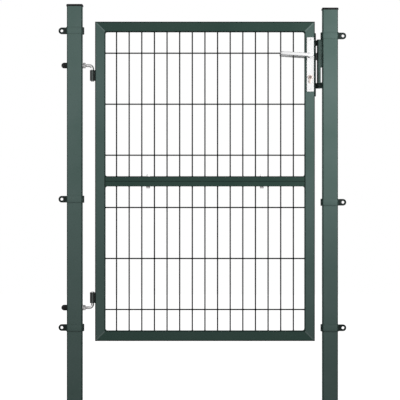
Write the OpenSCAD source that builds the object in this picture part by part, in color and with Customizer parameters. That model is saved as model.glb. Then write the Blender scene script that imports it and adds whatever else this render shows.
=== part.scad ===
/* [Leaf] */
// Width of the gate leaf over its frame
leaf_w = 860; // [600:10:1100]
// Height of the gate leaf over its frame
leaf_h = 1250; // [1000:10:1600]
// Height of the leaf's lower edge above the feet of the posts
leaf_lift = 434; // [420:1:600]
// Width and depth of the square frame tube
frame_tube = 40; // [36:1:50]
// Height of each of the two rails that meet at the middle of the leaf
middle_rail_h = 20; // [16:1:30]
// Wall of the frame tubes
frame_wall = 1.5; // [1.2:0.1:2.5]
// Outer corner radius of the frame tubes
frame_corner_r = 3; // [2:0.5:4]
// Radius of the welds in the frame's inner corners
corner_weld_r = 7; // [4:1:10]

/* [Mesh] */
// Diameter of the mesh wires
wire_d = 5; // [4:0.5:6]
// Distance between the centres of two upright wires
upright_pitch = 49.5; // [40:0.5:80]
// Distance between the centres of two crosswise wires
crosswise_pitch = 200; // [100:5:300]
// Share of the wire's diameter by which the wires sink into each other when welded
weld_sink = 0.12; // [0.05:0.01:0.3]

/* [Posts] */
// Width and depth of the square posts
post_tube = 60; // [50:1:80]
// Wall of the posts
post_wall = 2; // [1.5:0.5:4]
// Outer corner radius of the posts
post_corner_r = 4; // [3:0.5:6]
// Clear gap between the hinge post and the leaf
hinge_gap = 50; // [46:1:60]
// Clear gap between the leaf and the latch post
latch_gap = 30; // [28:1:40]
// Height of the hinge post's cap above the leaf
hinge_post_rise = 68; // [45:1:120]
// Height of the latch post's cap above the leaf
latch_post_rise = 54; // [45:1:120]
// Thickness of the caps' top plate
cap_plate = 4; // [2:0.5:8]
// Depth of the caps' skirt down the outside of the post
cap_skirt = 4; // [2:0.5:15]
// Wall of the caps' skirt
cap_wall = 2; // [1:0.5:4]

/* [Fence clamps] */
// Drop of the hinge post's three clamps below the leaf's upper edge
hinge_clamp_drops = [35, 695, 1198];
// Drop of the latch post's middle and lower clamp below the leaf's upper edge
latch_clamp_drops = [707, 1199];
// Height of the clamp strap
strap_h = 26; // [18:1:30]
// Thickness of the clamp strap
strap_t = 2.5; // [2:0.5:4]
// Height of the clamp's two ears
ear_h = 26; // [20:1:32]
// Reach of the ears from the post's face to the centre of their hole
ear_reach = 21; // [18:1:30]
// Radius of the hole through the ears
ear_hole_r = 5.5; // [4:0.5:7]
// Gap between the two ears
ear_gap = 2; // [1:0.5:4]
// Height of the two hooked ends that close the strap on its inner side
hook_end_h = 28; // [24:1:34]
// Distance that the hooked ends stand out from the strap
hook_end_out = 4; // [2:0.5:5]
// Thickness of each hooked end
hook_end_t = 5; // [4:0.5:7]
// Corner radius of the hooked ends
hook_end_r = 1.8; // [1:0.1:2]

/* [Hinges] */
// Drop of the upper hook's rod below the leaf's upper edge
top_hook_drop = 171; // [120:1:300]
// Rise of the lower hook's rod above the leaf's lower edge
bottom_hook_rise = 130; // [100:1:300]
// Diameter of the hook's rod and pin
hook_d = 12; // [10:1:14]
// Bend radius of the hook at the rod's centre line
hook_bend_r = 14; // [12:1:18]
// Outer diameter of the sleeves on the leaf
sleeve_d = 21; // [19:1:26]
// Length of the sleeves on the leaf
sleeve_h = 42; // [30:1:60]
// Width of the weld that seats each sleeve on the stile
sleeve_weld_w = 10; // [6:1:14]
// Distance from the rod's centre line to the near end of the sleeve
sleeve_stand = 18; // [16:1:24]
// Length of pin that shows past the far end of the sleeve
pin_end = 3; // [1:0.5:10]
// Width across the flats of the hook's hexagon nut
hook_nut_flats = 19; // [17:1:22]
// Height of the hook's hexagon nut
hook_nut_h = 10; // [8:0.5:12]
// Diameter of the washer under the nut
washer_d = 24; // [22:1:30]
// Thickness of the washer under the nut
washer_t = 2.5; // [1.5:0.5:3]
// Diameter of the dome nut on the outer side of the post
dome_d = 24; // [20:1:28]
// Length of the dome nut
dome_h = 23; // [18:1:30]

/* [Lock] */
// Drop of the lever's axis below the leaf's upper edge
lever_drop = 133; // [110:1:200]
// Distance from the lever's axis down to the key cylinder's axis
key_drop = 85; // [72:1:92]
// Distance from the lever's axis back to the leaf's edge
backset = 18; // [16:0.5:22]
// Width of the long plates under the levers
plate_w = 27; // [25:1:34]
// Height of the long plates
plate_h = 212; // [190:1:240]
// Thickness of the long plates
plate_t = 4.5; // [3:0.5:8]
// Height of the long plates above the lever's axis
plate_above = 71; // [50:1:90]
// Corner radius of the long plates
plate_r = 3; // [2:0.5:6]
// Diameter of the lever's collar, which turns in the long plate
neck_d = 20; // [19:1:22]
// Distance that the collar stands out of the long plate
collar_out = 7; // [4:1:12]
// Bevel round the collar's outer end
collar_bevel = 1.5; // [1:0.5:2]
// Radius of the bend from the lever's neck to its grip, at the middle
lever_bend_r = 18; // [14:1:24]
// Distance from the long plate to the middle of the lever's grip
grip_out = 42; // [38:1:60]
// Reach of the lever from its axis to its tip
lever_reach = 118; // [90:1:130]
// Height of the lever's grip
grip_h = 13; // [12:1:16]
// Thickness of the lever's grip
grip_t = 17; // [16:1:18]
// Angle by which the lever rises towards its tip, in degrees
lever_rise = 3.7; // [0:0.1:6]
// Size of the square spindle
spindle_w = 8; // [7:1:9]
// Depth that the spindle reaches into each lever's neck
spindle_in = 18; // [10:1:25]
// Height of the faceplate on the leaf's edge
faceplate_h = 247; // [230:1:270]
// Height of the faceplate above the lever's axis
faceplate_above = 88; // [60:1:110]
// Width of the faceplate
faceplate_w = 24; // [20:1:30]
// Thickness of the faceplate
faceplate_t = 4.5; // [2:0.5:5]
// Corner radius of the faceplate
faceplate_r = 3; // [2:0.5:6]
// Depth of the lock case inside the stile
case_depth = 33; // [30:1:34]
// Thickness of the lock case
case_t = 16; // [15:1:20]
// Height of the lock case
case_h = 172; // [160:1:200]
// Height of the lock case above the lever's axis
case_above = 40; // [30:1:60]
// Height of the latch bolt
latch_h = 28; // [20:1:32]
// Thickness of the latch bolt
latch_t = 11.5; // [10:0.5:13]
// Distance that the latch bolt stands out of the faceplate
latch_out = 12; // [10:0.5:13]
// Travel of the latch bolt
latch_travel = 12; // [10:0.5:13]
// Length of latch bolt inside the leaf at rest
latch_tail = 9; // [6:0.5:10]
// Length of the bevel at the latch bolt's tip
latch_bevel = 9; // [6:0.5:9.5]
// Drop of the latch bolt's middle below the lever's axis
latch_drop = 3; // [0:1:6]
// Height of the deadbolt
deadbolt_h = 35; // [28:1:40]
// Thickness of the deadbolt
deadbolt_t = 8; // [6:0.5:12]
// Length of deadbolt inside the leaf
deadbolt_tail = 8; // [6:0.5:10]
// Drop of the deadbolt's middle below the lever's axis
deadbolt_drop = 76; // [60:1:90]
// Diameter of the key cylinder's round part
key_d = 17; // [16:0.5:18]
// Width of the key cylinder's lower part
key_w = 10; // [9:0.5:11]
// Height of the key cylinder over both parts
key_h = 33; // [30:1:35]
// Distance that the key cylinder stands out of the long plates
key_out = 3; // [1:0.5:6]

/* [Strike] */
// Height of the strike's upper end above the lever's axis
strike_above = 63; // [50:1:80]
// Gap between the strike and the clamp above it
strike_clamp_gap = 1; // [0.5:0.5:20]
// Height of the strike
strike_h = 190; // [170:1:220]
// Gap between the faceplate and the strike
strike_gap = 5; // [5:0.5:8]
// Width of the strike's channel
strike_w = 40; // [36:1:50]
// Depth of the strike's channel
strike_depth = 13.5; // [10:0.5:14]
// Sheet thickness of the strike
strike_t = 3; // [2:0.5:4]
// Room round each bolt in the strike's two windows
window_room = 5.5; // [5:0.5:8]
// Height of the block that carries the strike's upper part
block_h = 108; // [80:1:120]
// Height of the lug that carries the strike's lower part, and of the stop arms
lug_h = 22; // [18:1:30]
// Distance that the stop arms reach behind the leaf
stop_overlap = 7; // [5:1:9]
// Gap between the back lock plate and the stop arms
stop_gap = 5; // [5:0.5:8]

/* [Frame bolts] */
// Cell of the mesh, counted from the stile, in whose middle each frame bolt sits
frame_bolt_cell = 3; // [1:1:5]
// Diameter of the frame bolts
frame_bolt_d = 8; // [6:1:10]
// Width across the flats of the frame bolts' heads and nuts
frame_bolt_flats = 13; // [10:1:17]
// Height of the frame bolts' heads and of their nuts
frame_bolt_head_h = 6; // [4:0.5:8]
// Diameter of the frame bolts' washers
frame_washer_d = 16; // [12:1:24]
// Thickness of the frame bolts' washers
frame_washer_t = 1.6; // [1:0.2:3]

/* [Fits] */
// Radial play of the pins in their sleeves
pin_play = 0.08; // [0.05:0.01:0.1]
// Clearance between pieces that are pushed or clamped together
seat_play = 0.15; // [0.1:0.05:0.3]
// Clearance round the latch bolt, the spindle and the levers' necks
slide_play = 0.3; // [0.2:0.05:0.5]
// Clearance round the levers' collars in the stile
collar_play = 0.6; // [0.4:0.1:1]

/* [Hidden] */
$fn = 48;

// Colours
moss_green = "#4d6660";
deep_green = "#2c3a36";
zinc = "#b9bcba";
white_paint = "#eeeeea";
brass_tone = "#c9a98e";
steel_tone = "#8e9392";
black_plastic = "#1c1f1f";

// Places that follow from the sizes above, with the origin at the middle of the hinge post's foot
leaf_x0 = post_tube / 2 + hinge_gap;
leaf_x1 = leaf_x0 + leaf_w;
leaf_z0 = leaf_lift;
leaf_z1 = leaf_lift + leaf_h;
leaf_mid_x = (leaf_x0 + leaf_x1) / 2;
leaf_mid_z = (leaf_z0 + leaf_z1) / 2;
latch_post_x = leaf_x1 + latch_gap + post_tube / 2;
post_face_x = latch_post_x - post_tube / 2;
hinge_x = leaf_x0 - sleeve_d / 2;
top_rod_z = leaf_z1 - top_hook_drop;
bottom_rod_z = leaf_z0 + bottom_hook_rise;
lever_x = leaf_x1 - backset;
lever_z = leaf_z1 - lever_drop;
key_z = lever_z - key_drop;
latch_z = lever_z - latch_drop;
deadbolt_z = lever_z - deadbolt_drop;
faceplate_x = leaf_x1 + faceplate_t;
plate_y = frame_tube / 2 + plate_t;
case_x0 = leaf_x1 - case_depth;
case_top = lever_z + case_above;
strike_x = faceplate_x + strike_gap;
strike_back_x = strike_x + strike_depth;
strike_top = lever_z + strike_above;
strike_bottom = strike_top - strike_h;
latch_top_clamp_z = strike_top + strike_clamp_gap + hook_end_h / 2;
// Number of upright wires in the leaf
upright_count = floor((leaf_w - 2 * frame_tube - wire_d) / upright_pitch);
// Distance of the frame bolts from the leaf's middle
frame_bolt_x = (upright_count / 2 - frame_bolt_cell) * upright_pitch;
// Offset of each layer of wires from the middle of the mesh
wire_offset = wire_d * (1 - weld_sink) / 2;
// A little more than nothing, by which a cut runs past the face that it opens
over = 1;
// Radius of the square spindle over its corners
spindle_corner_r = spindle_w * sqrt(2) / 2;

// A rectangle with round corners, about the origin
module rounded_rectangle(w, d, r) {
    square([w - 2 * r, d], center = true);
    square([w, d - 2 * r], center = true);
    for (x = [-1, 1], y = [-1, 1])
        translate([x * (w / 2 - r), y * (d / 2 - r)])
            circle(r = r);
}

// The section of a rectangular tube
module tube_section(w, d, r, wall) {
    difference() {
        rounded_rectangle(w, d, r);
        rounded_rectangle(w - 2 * wall, d - 2 * wall, r - wall / 2);
    }
}

// A straight rod of the hinge hooks along +X from x0 to x1
module rod_along_x(x0, x1, r) {
    translate([x0, 0, 0])
        rotate([0, 90, 0])
            cylinder(r = r, h = x1 - x0);
}

// A post from the ground to its cap, drilled for the hook rods at the given heights
module post(height, rod_heights) {
    difference() {
        linear_extrude(height)
            tube_section(post_tube, post_tube, post_corner_r, post_wall);
        for (z = rod_heights)
            translate([0, 0, z])
                rod_along_x(-post_tube, post_tube, hook_d / 2 + seat_play);
    }
}

module hinge_post() {
    color(moss_green)
        post(leaf_z1 + hinge_post_rise - cap_plate, [top_rod_z, bottom_rod_z]);
}

module latch_post() {
    color(moss_green)
        translate([latch_post_x, 0, 0])
            post(leaf_z1 + latch_post_rise - cap_plate, []);
}

// A cap that slips over the end of a post, with a bevel round its upper edge
module cap_on_post() {
    cap_w = post_tube + 2 * (cap_wall + seat_play);
    bevel = cap_plate / 2;
    difference() {
        intersection() {
            translate([0, 0, -cap_skirt])
                linear_extrude(cap_skirt + cap_plate)
                    rounded_rectangle(cap_w, cap_w, post_corner_r + cap_wall);
            cap_side_profile(cap_w, bevel);
            rotate([0, 0, 90])
                cap_side_profile(cap_w, bevel);
        }
        translate([0, 0, -cap_skirt - over])
            linear_extrude(cap_skirt + over)
                rounded_rectangle(post_tube + 2 * seat_play, post_tube + 2 * seat_play, post_corner_r);
    }
}

// The cap's side view with its two bevels, as a bar along Y
module cap_side_profile(cap_w, bevel) {
    half = cap_w / 2;
    rotate([90, 0, 0])
        linear_extrude(2 * cap_w, center = true)
            polygon([
                [-half - over, -cap_skirt - over], [half + over, -cap_skirt - over],
                [half + over, cap_plate - bevel - over], [half - bevel, cap_plate],
                [-half + bevel, cap_plate], [-half - over, cap_plate - bevel - over]
            ]);
}

module hinge_post_cap() {
    color(black_plastic)
        translate([0, 0, leaf_z1 + hinge_post_rise - cap_plate])
            cap_on_post();
}

module latch_post_cap() {
    color(black_plastic)
        translate([latch_post_x, 0, leaf_z1 + latch_post_rise - cap_plate])
            cap_on_post();
}

// A fence clamp round a post, with its pair of ears on the +X side and its hooked ends on the -X side
module fence_clamp() {
    inner_w = post_tube + 2 * seat_play;
    outer_w = inner_w + 2 * strap_t;
    face_x = post_tube / 2;
    difference() {
        union() {
            translate([0, 0, -strap_h / 2])
                linear_extrude(strap_h)
                    rounded_rectangle(outer_w, outer_w, post_corner_r + strap_t);
            for (side = [-1, 1])
                translate([face_x, side * (ear_gap + strap_t) / 2, 0])
                    clamp_ear();
            for (side = [-1, 1])
                translate([-outer_w / 2, side * (ear_gap + hook_end_t / 2), 0])
                    clamp_hook_end();
        }
        translate([0, 0, -ear_h])
            linear_extrude(2 * ear_h)
                rounded_rectangle(inner_w, inner_w, post_corner_r);
        translate([face_x + ear_reach, 0, 0])
            rotate([90, 0, 0])
                cylinder(r = ear_hole_r, h = 3 * (ear_gap + 2 * strap_t), center = true);
    }
}

// One flat ear with a round end, from the post's face outwards
module clamp_ear() {
    rotate([90, 0, 0])
        linear_extrude(strap_t, center = true) {
            translate([0, -ear_h / 2])
                square([ear_reach, ear_h]);
            translate([ear_reach, 0])
                circle(r = ear_h / 2);
        }
}

// One hooked end of the strap with round corners, half of it sunk into the strap
module clamp_hook_end() {
    rotate([90, 0, 0])
        linear_extrude(hook_end_t, center = true)
            rounded_rectangle(2 * hook_end_out, hook_end_h, hook_end_r);
}

module hinge_post_clamp(index) {
    color(deep_green)
        translate([0, 0, leaf_z1 - hinge_clamp_drops[index]])
            mirror([1, 0, 0])
                fence_clamp();
}

module latch_post_clamp(z) {
    color(deep_green)
        translate([latch_post_x, 0, z])
            fence_clamp();
}

module hinge_post_top_clamp() {
    hinge_post_clamp(0);
}

module hinge_post_middle_clamp() {
    hinge_post_clamp(1);
}

module hinge_post_bottom_clamp() {
    hinge_post_clamp(2);
}

module latch_post_top_clamp() {
    latch_post_clamp(latch_top_clamp_z);
}

module latch_post_middle_clamp() {
    latch_post_clamp(leaf_z1 - latch_clamp_drops[0]);
}

module latch_post_bottom_clamp() {
    latch_post_clamp(leaf_z1 - latch_clamp_drops[1]);
}

// An L-shaped hook: a rod through the post, a bend and an upright pin that points up
module hinge_hook() {
    bend_x = hinge_x - hook_bend_r;
    pin_top = sleeve_stand + sleeve_h + pin_end;
    color(zinc) {
        rod_along_x(-post_tube / 2 - dome_h / 2, bend_x, hook_d / 2);
        translate([bend_x, 0, hook_bend_r])
            rotate([90, 0, 0])
                rotate([0, 0, -90])
                    rotate_extrude(angle = 90)
                        translate([hook_bend_r, 0])
                            circle(d = hook_d);
        translate([hinge_x, 0, hook_bend_r])
            cylinder(d = hook_d, h = pin_top - hook_bend_r);
    }
}

module bottom_hinge_hook() {
    translate([0, 0, bottom_rod_z])
        hinge_hook();
}

module top_hinge_hook() {
    translate([0, 0, top_rod_z])
        mirror([0, 0, 1])
            hinge_hook();
}

// The washer and hexagon nut that hold the hook on the inner side of the post
module hook_nut() {
    color(zinc)
        translate([post_tube / 2, 0, 0])
            rotate([0, 90, 0])
                difference() {
                    union() {
                        cylinder(d = washer_d, h = washer_t);
                        cylinder(d = hook_nut_flats / cos(30), h = washer_t + hook_nut_h, $fn = 6);
                    }
                    translate([0, 0, -over])
                        cylinder(r = hook_d / 2 + seat_play, h = washer_t + hook_nut_h + 2 * over);
                }
}

module top_hinge_nut() {
    translate([0, 0, top_rod_z])
        hook_nut();
}

module bottom_hinge_nut() {
    translate([0, 0, bottom_rod_z])
        hook_nut();
}

// The dome nut that closes the rod's end on the outer side of the post
module dome_nut() {
    color(black_plastic)
        translate([-post_tube / 2, 0, 0])
            rotate([0, -90, 0])
                difference() {
                    rotate_extrude()
                        dome_profile();
                    translate([0, 0, -over])
                        cylinder(r = hook_d / 2 + seat_play, h = dome_h / 2 + 2 * over);
                }
}

// Half of the dome nut's section: a straight skirt and a quarter round
module dome_profile() {
    square([dome_d / 2, dome_h - dome_d / 2]);
    translate([0, dome_h - dome_d / 2])
        intersection() {
            circle(d = dome_d);
            square(dome_d);
        }
}

module top_hinge_dome_nut() {
    translate([0, 0, top_rod_z])
        dome_nut();
}

module bottom_hinge_dome_nut() {
    translate([0, 0, bottom_rod_z])
        dome_nut();
}

// A sleeve on the leaf's edge, from the height z upwards, seated on the stile by its weld
module hinge_sleeve(z) {
    color(moss_green)
        translate([hinge_x, 0, z])
            difference() {
                union() {
                    cylinder(d = sleeve_d, h = sleeve_h);
                    translate([0, -sleeve_weld_w / 2, 0])
                        cube([sleeve_d / 2, sleeve_weld_w, sleeve_h]);
                }
                translate([0, 0, -over])
                    cylinder(r = hook_d / 2 + pin_play, h = sleeve_h + 2 * over);
            }
}

module top_hinge_sleeve() {
    hinge_sleeve(top_rod_z - sleeve_stand - sleeve_h);
}

module bottom_hinge_sleeve() {
    hinge_sleeve(bottom_rod_z + sleeve_stand);
}

// A crosswise tube of the leaf between two heights
module leaf_rail(z0, z1) {
    translate([leaf_x0, 0, (z0 + z1) / 2])
        rotate([0, 90, 0])
            linear_extrude(leaf_w)
                tube_section(z1 - z0, frame_tube, frame_corner_r, frame_wall);
}

// An upright tube of the leaf, centred on x
module leaf_stile(x, z0, z1) {
    translate([x, 0, z0])
        linear_extrude(z1 - z0)
            tube_section(frame_tube, frame_tube, frame_corner_r, frame_wall);
}

// An outline in the plane of the leaf, thick enough to cut a tube to it
module leaf_cut(points) {
    rotate([90, 0, 0])
        linear_extrude(2 * frame_tube, center = true)
            polygon(points);
}

// The welds in the two inner corners beside a rail; up is 1 where they lie above it and -1 where below
module corner_welds(z, up) {
    for (side = [-1, 1])
        translate([leaf_mid_x + side * (leaf_w / 2 - frame_tube), 0, z])
            rotate([90, 0, 0])
                linear_extrude(frame_tube - 2 * frame_corner_r, center = true)
                    scale_to_corner(-side, up)
                        difference() {
                            square(corner_weld_r);
                            translate([corner_weld_r, corner_weld_r])
                                circle(r = corner_weld_r);
                        }
}

// Turns a shape drawn in the first quadrant into the quadrant with the given signs
module scale_to_corner(x_sign, z_sign) {
    mirror([x_sign < 0 ? 1 : 0, 0])
        mirror([0, z_sign < 0 ? 1 : 0])
            children();
}

module top_rail() {
    color(moss_green) {
        intersection() {
            leaf_rail(leaf_z1 - frame_tube, leaf_z1);
            leaf_cut([
                [leaf_x0, leaf_z1], [leaf_x1, leaf_z1],
                [leaf_x1 - frame_tube, leaf_z1 - frame_tube], [leaf_x0 + frame_tube, leaf_z1 - frame_tube]
            ]);
        }
        corner_welds(leaf_z1 - frame_tube, -1);
    }
}

module bottom_rail() {
    color(moss_green) {
        intersection() {
            leaf_rail(leaf_z0, leaf_z0 + frame_tube);
            leaf_cut([
                [leaf_x0, leaf_z0], [leaf_x0 + frame_tube, leaf_z0 + frame_tube],
                [leaf_x1 - frame_tube, leaf_z0 + frame_tube], [leaf_x1, leaf_z0]
            ]);
        }
        corner_welds(leaf_z0 + frame_tube, 1);
    }
}

// A stile of the upper or lower half, mitred at its far end; side is -1 on the hinge side and 1 on the latch side
module half_stile(side, far_z) {
    edge_x = side < 0 ? leaf_x0 : leaf_x1;
    inner_x = edge_x - side * frame_tube;
    inner_z = far_z > leaf_mid_z ? far_z - frame_tube : far_z + frame_tube;
    intersection() {
        leaf_stile(edge_x - side * frame_tube / 2, min(far_z, leaf_mid_z), max(far_z, leaf_mid_z));
        leaf_cut([[edge_x, leaf_mid_z], [edge_x, far_z], [inner_x, inner_z], [inner_x, leaf_mid_z]]);
    }
}

module upper_hinge_stile() {
    color(moss_green)
        half_stile(-1, leaf_z1);
}

module lower_hinge_stile() {
    color(moss_green)
        half_stile(-1, leaf_z0);
}

module lower_latch_stile() {
    color(moss_green)
        half_stile(1, leaf_z0);
}

// The upper latch stile is cut open for the lock case, the levers' necks and the key cylinder
module upper_latch_stile() {
    color(moss_green)
        difference() {
            half_stile(1, leaf_z1);
            translate([leaf_x1 - 2 * frame_wall, -case_t / 2 - slide_play, case_top - case_h - slide_play])
                cube([frame_tube, case_t + 2 * slide_play, case_h + 2 * slide_play]);
            at_lever_axis(frame_tube + 2 * over)
                circle(d = neck_d + 2 * collar_play);
            at_lever_axis(frame_tube + 2 * over)
                translate([0, -key_drop])
                    key_profile(seat_play);
        }
}

// Extrudes a shape that is drawn about the lever's axis through the leaf, over the given depth
module at_lever_axis(depth) {
    translate([lever_x, 0, lever_z])
        rotate([90, 0, 0])
            linear_extrude(depth, center = true)
                children();
}

// The key cylinder's outline: a round part and a narrow part under it
module key_profile(play) {
    circle(d = key_d + 2 * play);
    translate([0, key_d / 2 - key_h + key_w / 2])
        circle(d = key_w + 2 * play);
    translate([-key_w / 2 - play, key_d / 2 - key_h + key_w / 2])
        square([key_w + 2 * play, key_h - key_d / 2 - key_w / 2]);
}

// A rail above the middle of the leaf, between the stiles and drilled for the frame bolts
module upper_middle_rail() {
    color(moss_green) {
        difference() {
            intersection() {
                leaf_rail(leaf_mid_z, leaf_mid_z + middle_rail_h);
                translate([leaf_x0 + frame_tube, -frame_tube, leaf_mid_z - over])
                    cube([leaf_w - 2 * frame_tube, 2 * frame_tube, middle_rail_h + 2 * over]);
            }
            for (side = [-1, 1])
                translate([leaf_mid_x + side * frame_bolt_x, 0, leaf_mid_z - over])
                    cylinder(r = frame_bolt_d / 2 + seat_play, h = middle_rail_h + 2 * over);
        }
        corner_welds(leaf_mid_z + middle_rail_h, 1);
    }
}

// The rail below the middle of the leaf mirrors the upper one
module lower_middle_rail() {
    translate([0, 0, 2 * leaf_mid_z])
        mirror([0, 0, 1])
            upper_middle_rail();
}

// A bolt through both middle rails, with a washer at each end
module frame_bolt(side) {
    washer_z = middle_rail_h + frame_washer_t;
    color(zinc)
        translate([leaf_mid_x + side * frame_bolt_x, 0, leaf_mid_z]) {
            cylinder(d = frame_bolt_d, h = 2 * (washer_z + frame_bolt_head_h) - over, center = true);
            for (end = [0, 1])
                mirror([0, 0, end]) {
                    translate([0, 0, middle_rail_h])
                        cylinder(d = frame_washer_d, h = frame_washer_t);
                    translate([0, 0, washer_z])
                        cylinder(d = frame_bolt_flats / cos(30), h = frame_bolt_head_h, $fn = 6);
                }
        }
}

module left_frame_bolt() {
    frame_bolt(-1);
}

module right_frame_bolt() {
    frame_bolt(1);
}

// A welded wire mesh that fills the frame between two heights
module wire_mesh(z0, z1) {
    crosswise_count = floor((z1 - z0 - wire_d) / crosswise_pitch) + 1;
    color(deep_green) {
        for (i = [0 : upright_count - 1])
            translate([leaf_mid_x + (i - (upright_count - 1) / 2) * upright_pitch, -wire_offset, z0])
                rotate([0, 0, 22.5])
                    cylinder(d = wire_d, h = z1 - z0, $fn = 8);
        for (i = [0 : crosswise_count - 1])
            translate([leaf_x0 + frame_tube, wire_offset, crosswise_z(z0, z1, crosswise_count, i)])
                rotate([0, 90, 0])
                    rotate([0, 0, 22.5])
                        cylinder(d = wire_d, h = leaf_w - 2 * frame_tube, $fn = 8);
    }
}

// Height of crosswise wire i, with the wires spread evenly about the middle of the frame
function crosswise_z(z0, z1, count, i) = (z0 + z1) / 2 + (i - (count - 1) / 2) * crosswise_pitch;

module upper_mesh() {
    wire_mesh(leaf_mid_z + middle_rail_h, leaf_z1 - frame_tube);
}

module lower_mesh() {
    wire_mesh(leaf_z0 + frame_tube, leaf_mid_z - middle_rail_h);
}

// The lock case, with a pocket for the latch bolt and holes for the spindle and the key cylinder
module lock_case() {
    pocket_x0 = leaf_x1 - latch_travel - latch_tail;
    color(steel_tone)
        difference() {
            translate([case_x0, -case_t / 2, case_top - case_h])
                cube([case_depth, case_t, case_h]);
            translate([pocket_x0 - over, -latch_t / 2 - slide_play, latch_z - latch_h / 2 - slide_play])
                cube([case_depth, latch_t + 2 * slide_play, latch_h + 2 * slide_play]);
            translate([leaf_x1 - deadbolt_tail, -deadbolt_t / 2 - seat_play, deadbolt_z - deadbolt_h / 2 - seat_play])
                cube([case_depth, deadbolt_t + 2 * seat_play, deadbolt_h + 2 * seat_play]);
            at_lever_axis(case_t + 2 * over)
                circle(r = spindle_corner_r + slide_play);
            at_lever_axis(case_t + 2 * over)
                translate([0, -key_drop])
                    key_profile(seat_play);
        }
}

// The bevelled latch bolt, with a fork at its tail that straddles the spindle
module latch_bolt() {
    tip_x = faceplate_x + latch_out;
    tail_x = leaf_x1 - latch_tail;
    fork_r = spindle_corner_r + slide_play;
    color(steel_tone)
        difference() {
            translate([0, 0, latch_z - latch_h / 2])
                linear_extrude(latch_h)
                    polygon([
                        [tail_x, -latch_t / 2], [tip_x, -latch_t / 2], [tip_x, latch_t / 2 - latch_bevel],
                        [tip_x - latch_bevel, latch_t / 2], [tail_x, latch_t / 2]
                    ]);
            translate([tail_x - over, -latch_t, lever_z - fork_r])
                cube([lever_x + fork_r + latch_travel - tail_x + over, 2 * latch_t, 2 * fork_r]);
        }
}

module deadbolt() {
    color(steel_tone)
        translate([leaf_x1 - deadbolt_tail, -deadbolt_t / 2, deadbolt_z - deadbolt_h / 2])
            cube([deadbolt_tail + faceplate_t, deadbolt_t, deadbolt_h]);
}

module lock_faceplate() {
    color(zinc)
        difference() {
            translate([leaf_x1, 0, lever_z + faceplate_above - faceplate_h / 2])
                rotate([0, 90, 0])
                    linear_extrude(faceplate_t)
                        rounded_rectangle(faceplate_h, faceplate_w, faceplate_r);
            translate([leaf_x1 - over, -latch_t / 2 - slide_play, latch_z - latch_h / 2 - slide_play])
                cube([faceplate_t + 2 * over, latch_t + 2 * slide_play, latch_h + 2 * slide_play]);
            translate([leaf_x1 - over, -deadbolt_t / 2 - seat_play, deadbolt_z - deadbolt_h / 2 - seat_play])
                cube([faceplate_t + 2 * over, deadbolt_t + 2 * seat_play, deadbolt_h + 2 * seat_play]);
        }
}

// The long plate on the leaf's front, which the back one mirrors
module lock_plate() {
    color(white_paint)
        translate([0, -frame_tube / 2 - plate_t / 2, 0])
            difference() {
                at_lever_axis(plate_t)
                    translate([0, plate_above - plate_h / 2])
                        rounded_rectangle(plate_w, plate_h, plate_r);
                at_lever_axis(plate_t + 2 * over)
                    circle(d = neck_d + 2 * slide_play);
                at_lever_axis(plate_t + 2 * over)
                    translate([0, -key_drop])
                        key_profile(seat_play);
            }
}

module front_lock_plate() {
    lock_plate();
}

module back_lock_plate() {
    mirror([0, 1, 0])
        lock_plate();
}

module key_cylinder() {
    color(brass_tone)
        at_lever_axis(2 * (plate_y + key_out))
            translate([0, -key_drop])
                key_profile(0);
}

// The section of the lever's neck and grip, with full round edges
module grip_section() {
    flat = grip_t - grip_h;
    square([flat, grip_h], center = true);
    for (side = [-1, 1])
        translate([side * flat / 2, 0])
            circle(d = grip_h);
}

// The front lever: a collar round the spindle, a neck, a bend and a grip that runs back over the leaf
module lever() {
    collar_in = case_t / 2 + over;
    collar_end = plate_y + collar_out;
    grip_y = plate_y + grip_out;
    color(white_paint)
        translate([lever_x, 0, lever_z])
            difference() {
                rotate([0, lever_rise, 0]) {
                    rotate([90, 0, 0])
                        rotate_extrude()
                            polygon([
                                [0, collar_in], [neck_d / 2, collar_in], [neck_d / 2, collar_end - collar_bevel],
                                [neck_d / 2 - collar_bevel, collar_end], [0, collar_end]
                            ]);
                    rotate([90, 0, 0])
                        translate([0, 0, plate_y])
                            linear_extrude(grip_out - lever_bend_r)
                                grip_section();
                    translate([-lever_bend_r, lever_bend_r - grip_y, 0])
                        rotate([0, 0, -90])
                            rotate_extrude(angle = 90)
                                translate([lever_bend_r, 0])
                                    grip_section();
                    translate([-lever_bend_r, -grip_y, 0])
                        rotate([0, -90, 0])
                            linear_extrude(lever_reach - grip_t / 2 - lever_bend_r)
                                rotate(90)
                                    grip_section();
                    translate([grip_t / 2 - lever_reach, -grip_y, 0])
                        grip_tip();
                }
                translate([0, -collar_in, 0])
                    cube([spindle_w + 2 * seat_play, 2 * spindle_in, spindle_w + 2 * seat_play], center = true);
            }
}

// The round end of the grip
module grip_tip() {
    rotate([0, 0, 90])
        rotate_extrude(angle = 180)
            intersection() {
                grip_section();
                translate([0, -grip_h / 2])
                    square([grip_t / 2, grip_h]);
            }
}

module front_lever() {
    lever();
}

module back_lever() {
    mirror([0, 1, 0])
        lever();
}

module lever_spindle() {
    color(steel_tone)
        translate([lever_x, 0, lever_z])
            cube([spindle_w, case_t + 2 * spindle_in, spindle_w], center = true);
}

// The strike: a channel that faces the lock, cut open for the bolts, with a stop arm at each end
module strike_channel() {
    color(moss_green)
        difference() {
            union() {
                translate([strike_x, -strike_w / 2, strike_bottom])
                    cube([strike_depth, strike_w, strike_h]);
                for (z = [strike_bottom, strike_top - lug_h])
                    stop_arm(z);
            }
            translate([strike_x + strike_t, -strike_w / 2 + strike_t, strike_bottom - over])
                cube([strike_depth, strike_w - 2 * strike_t, strike_h + 2 * over]);
            bolt_window(latch_z, latch_h, latch_t);
            bolt_window(deadbolt_z, deadbolt_h, deadbolt_t);
        }
}

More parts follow.
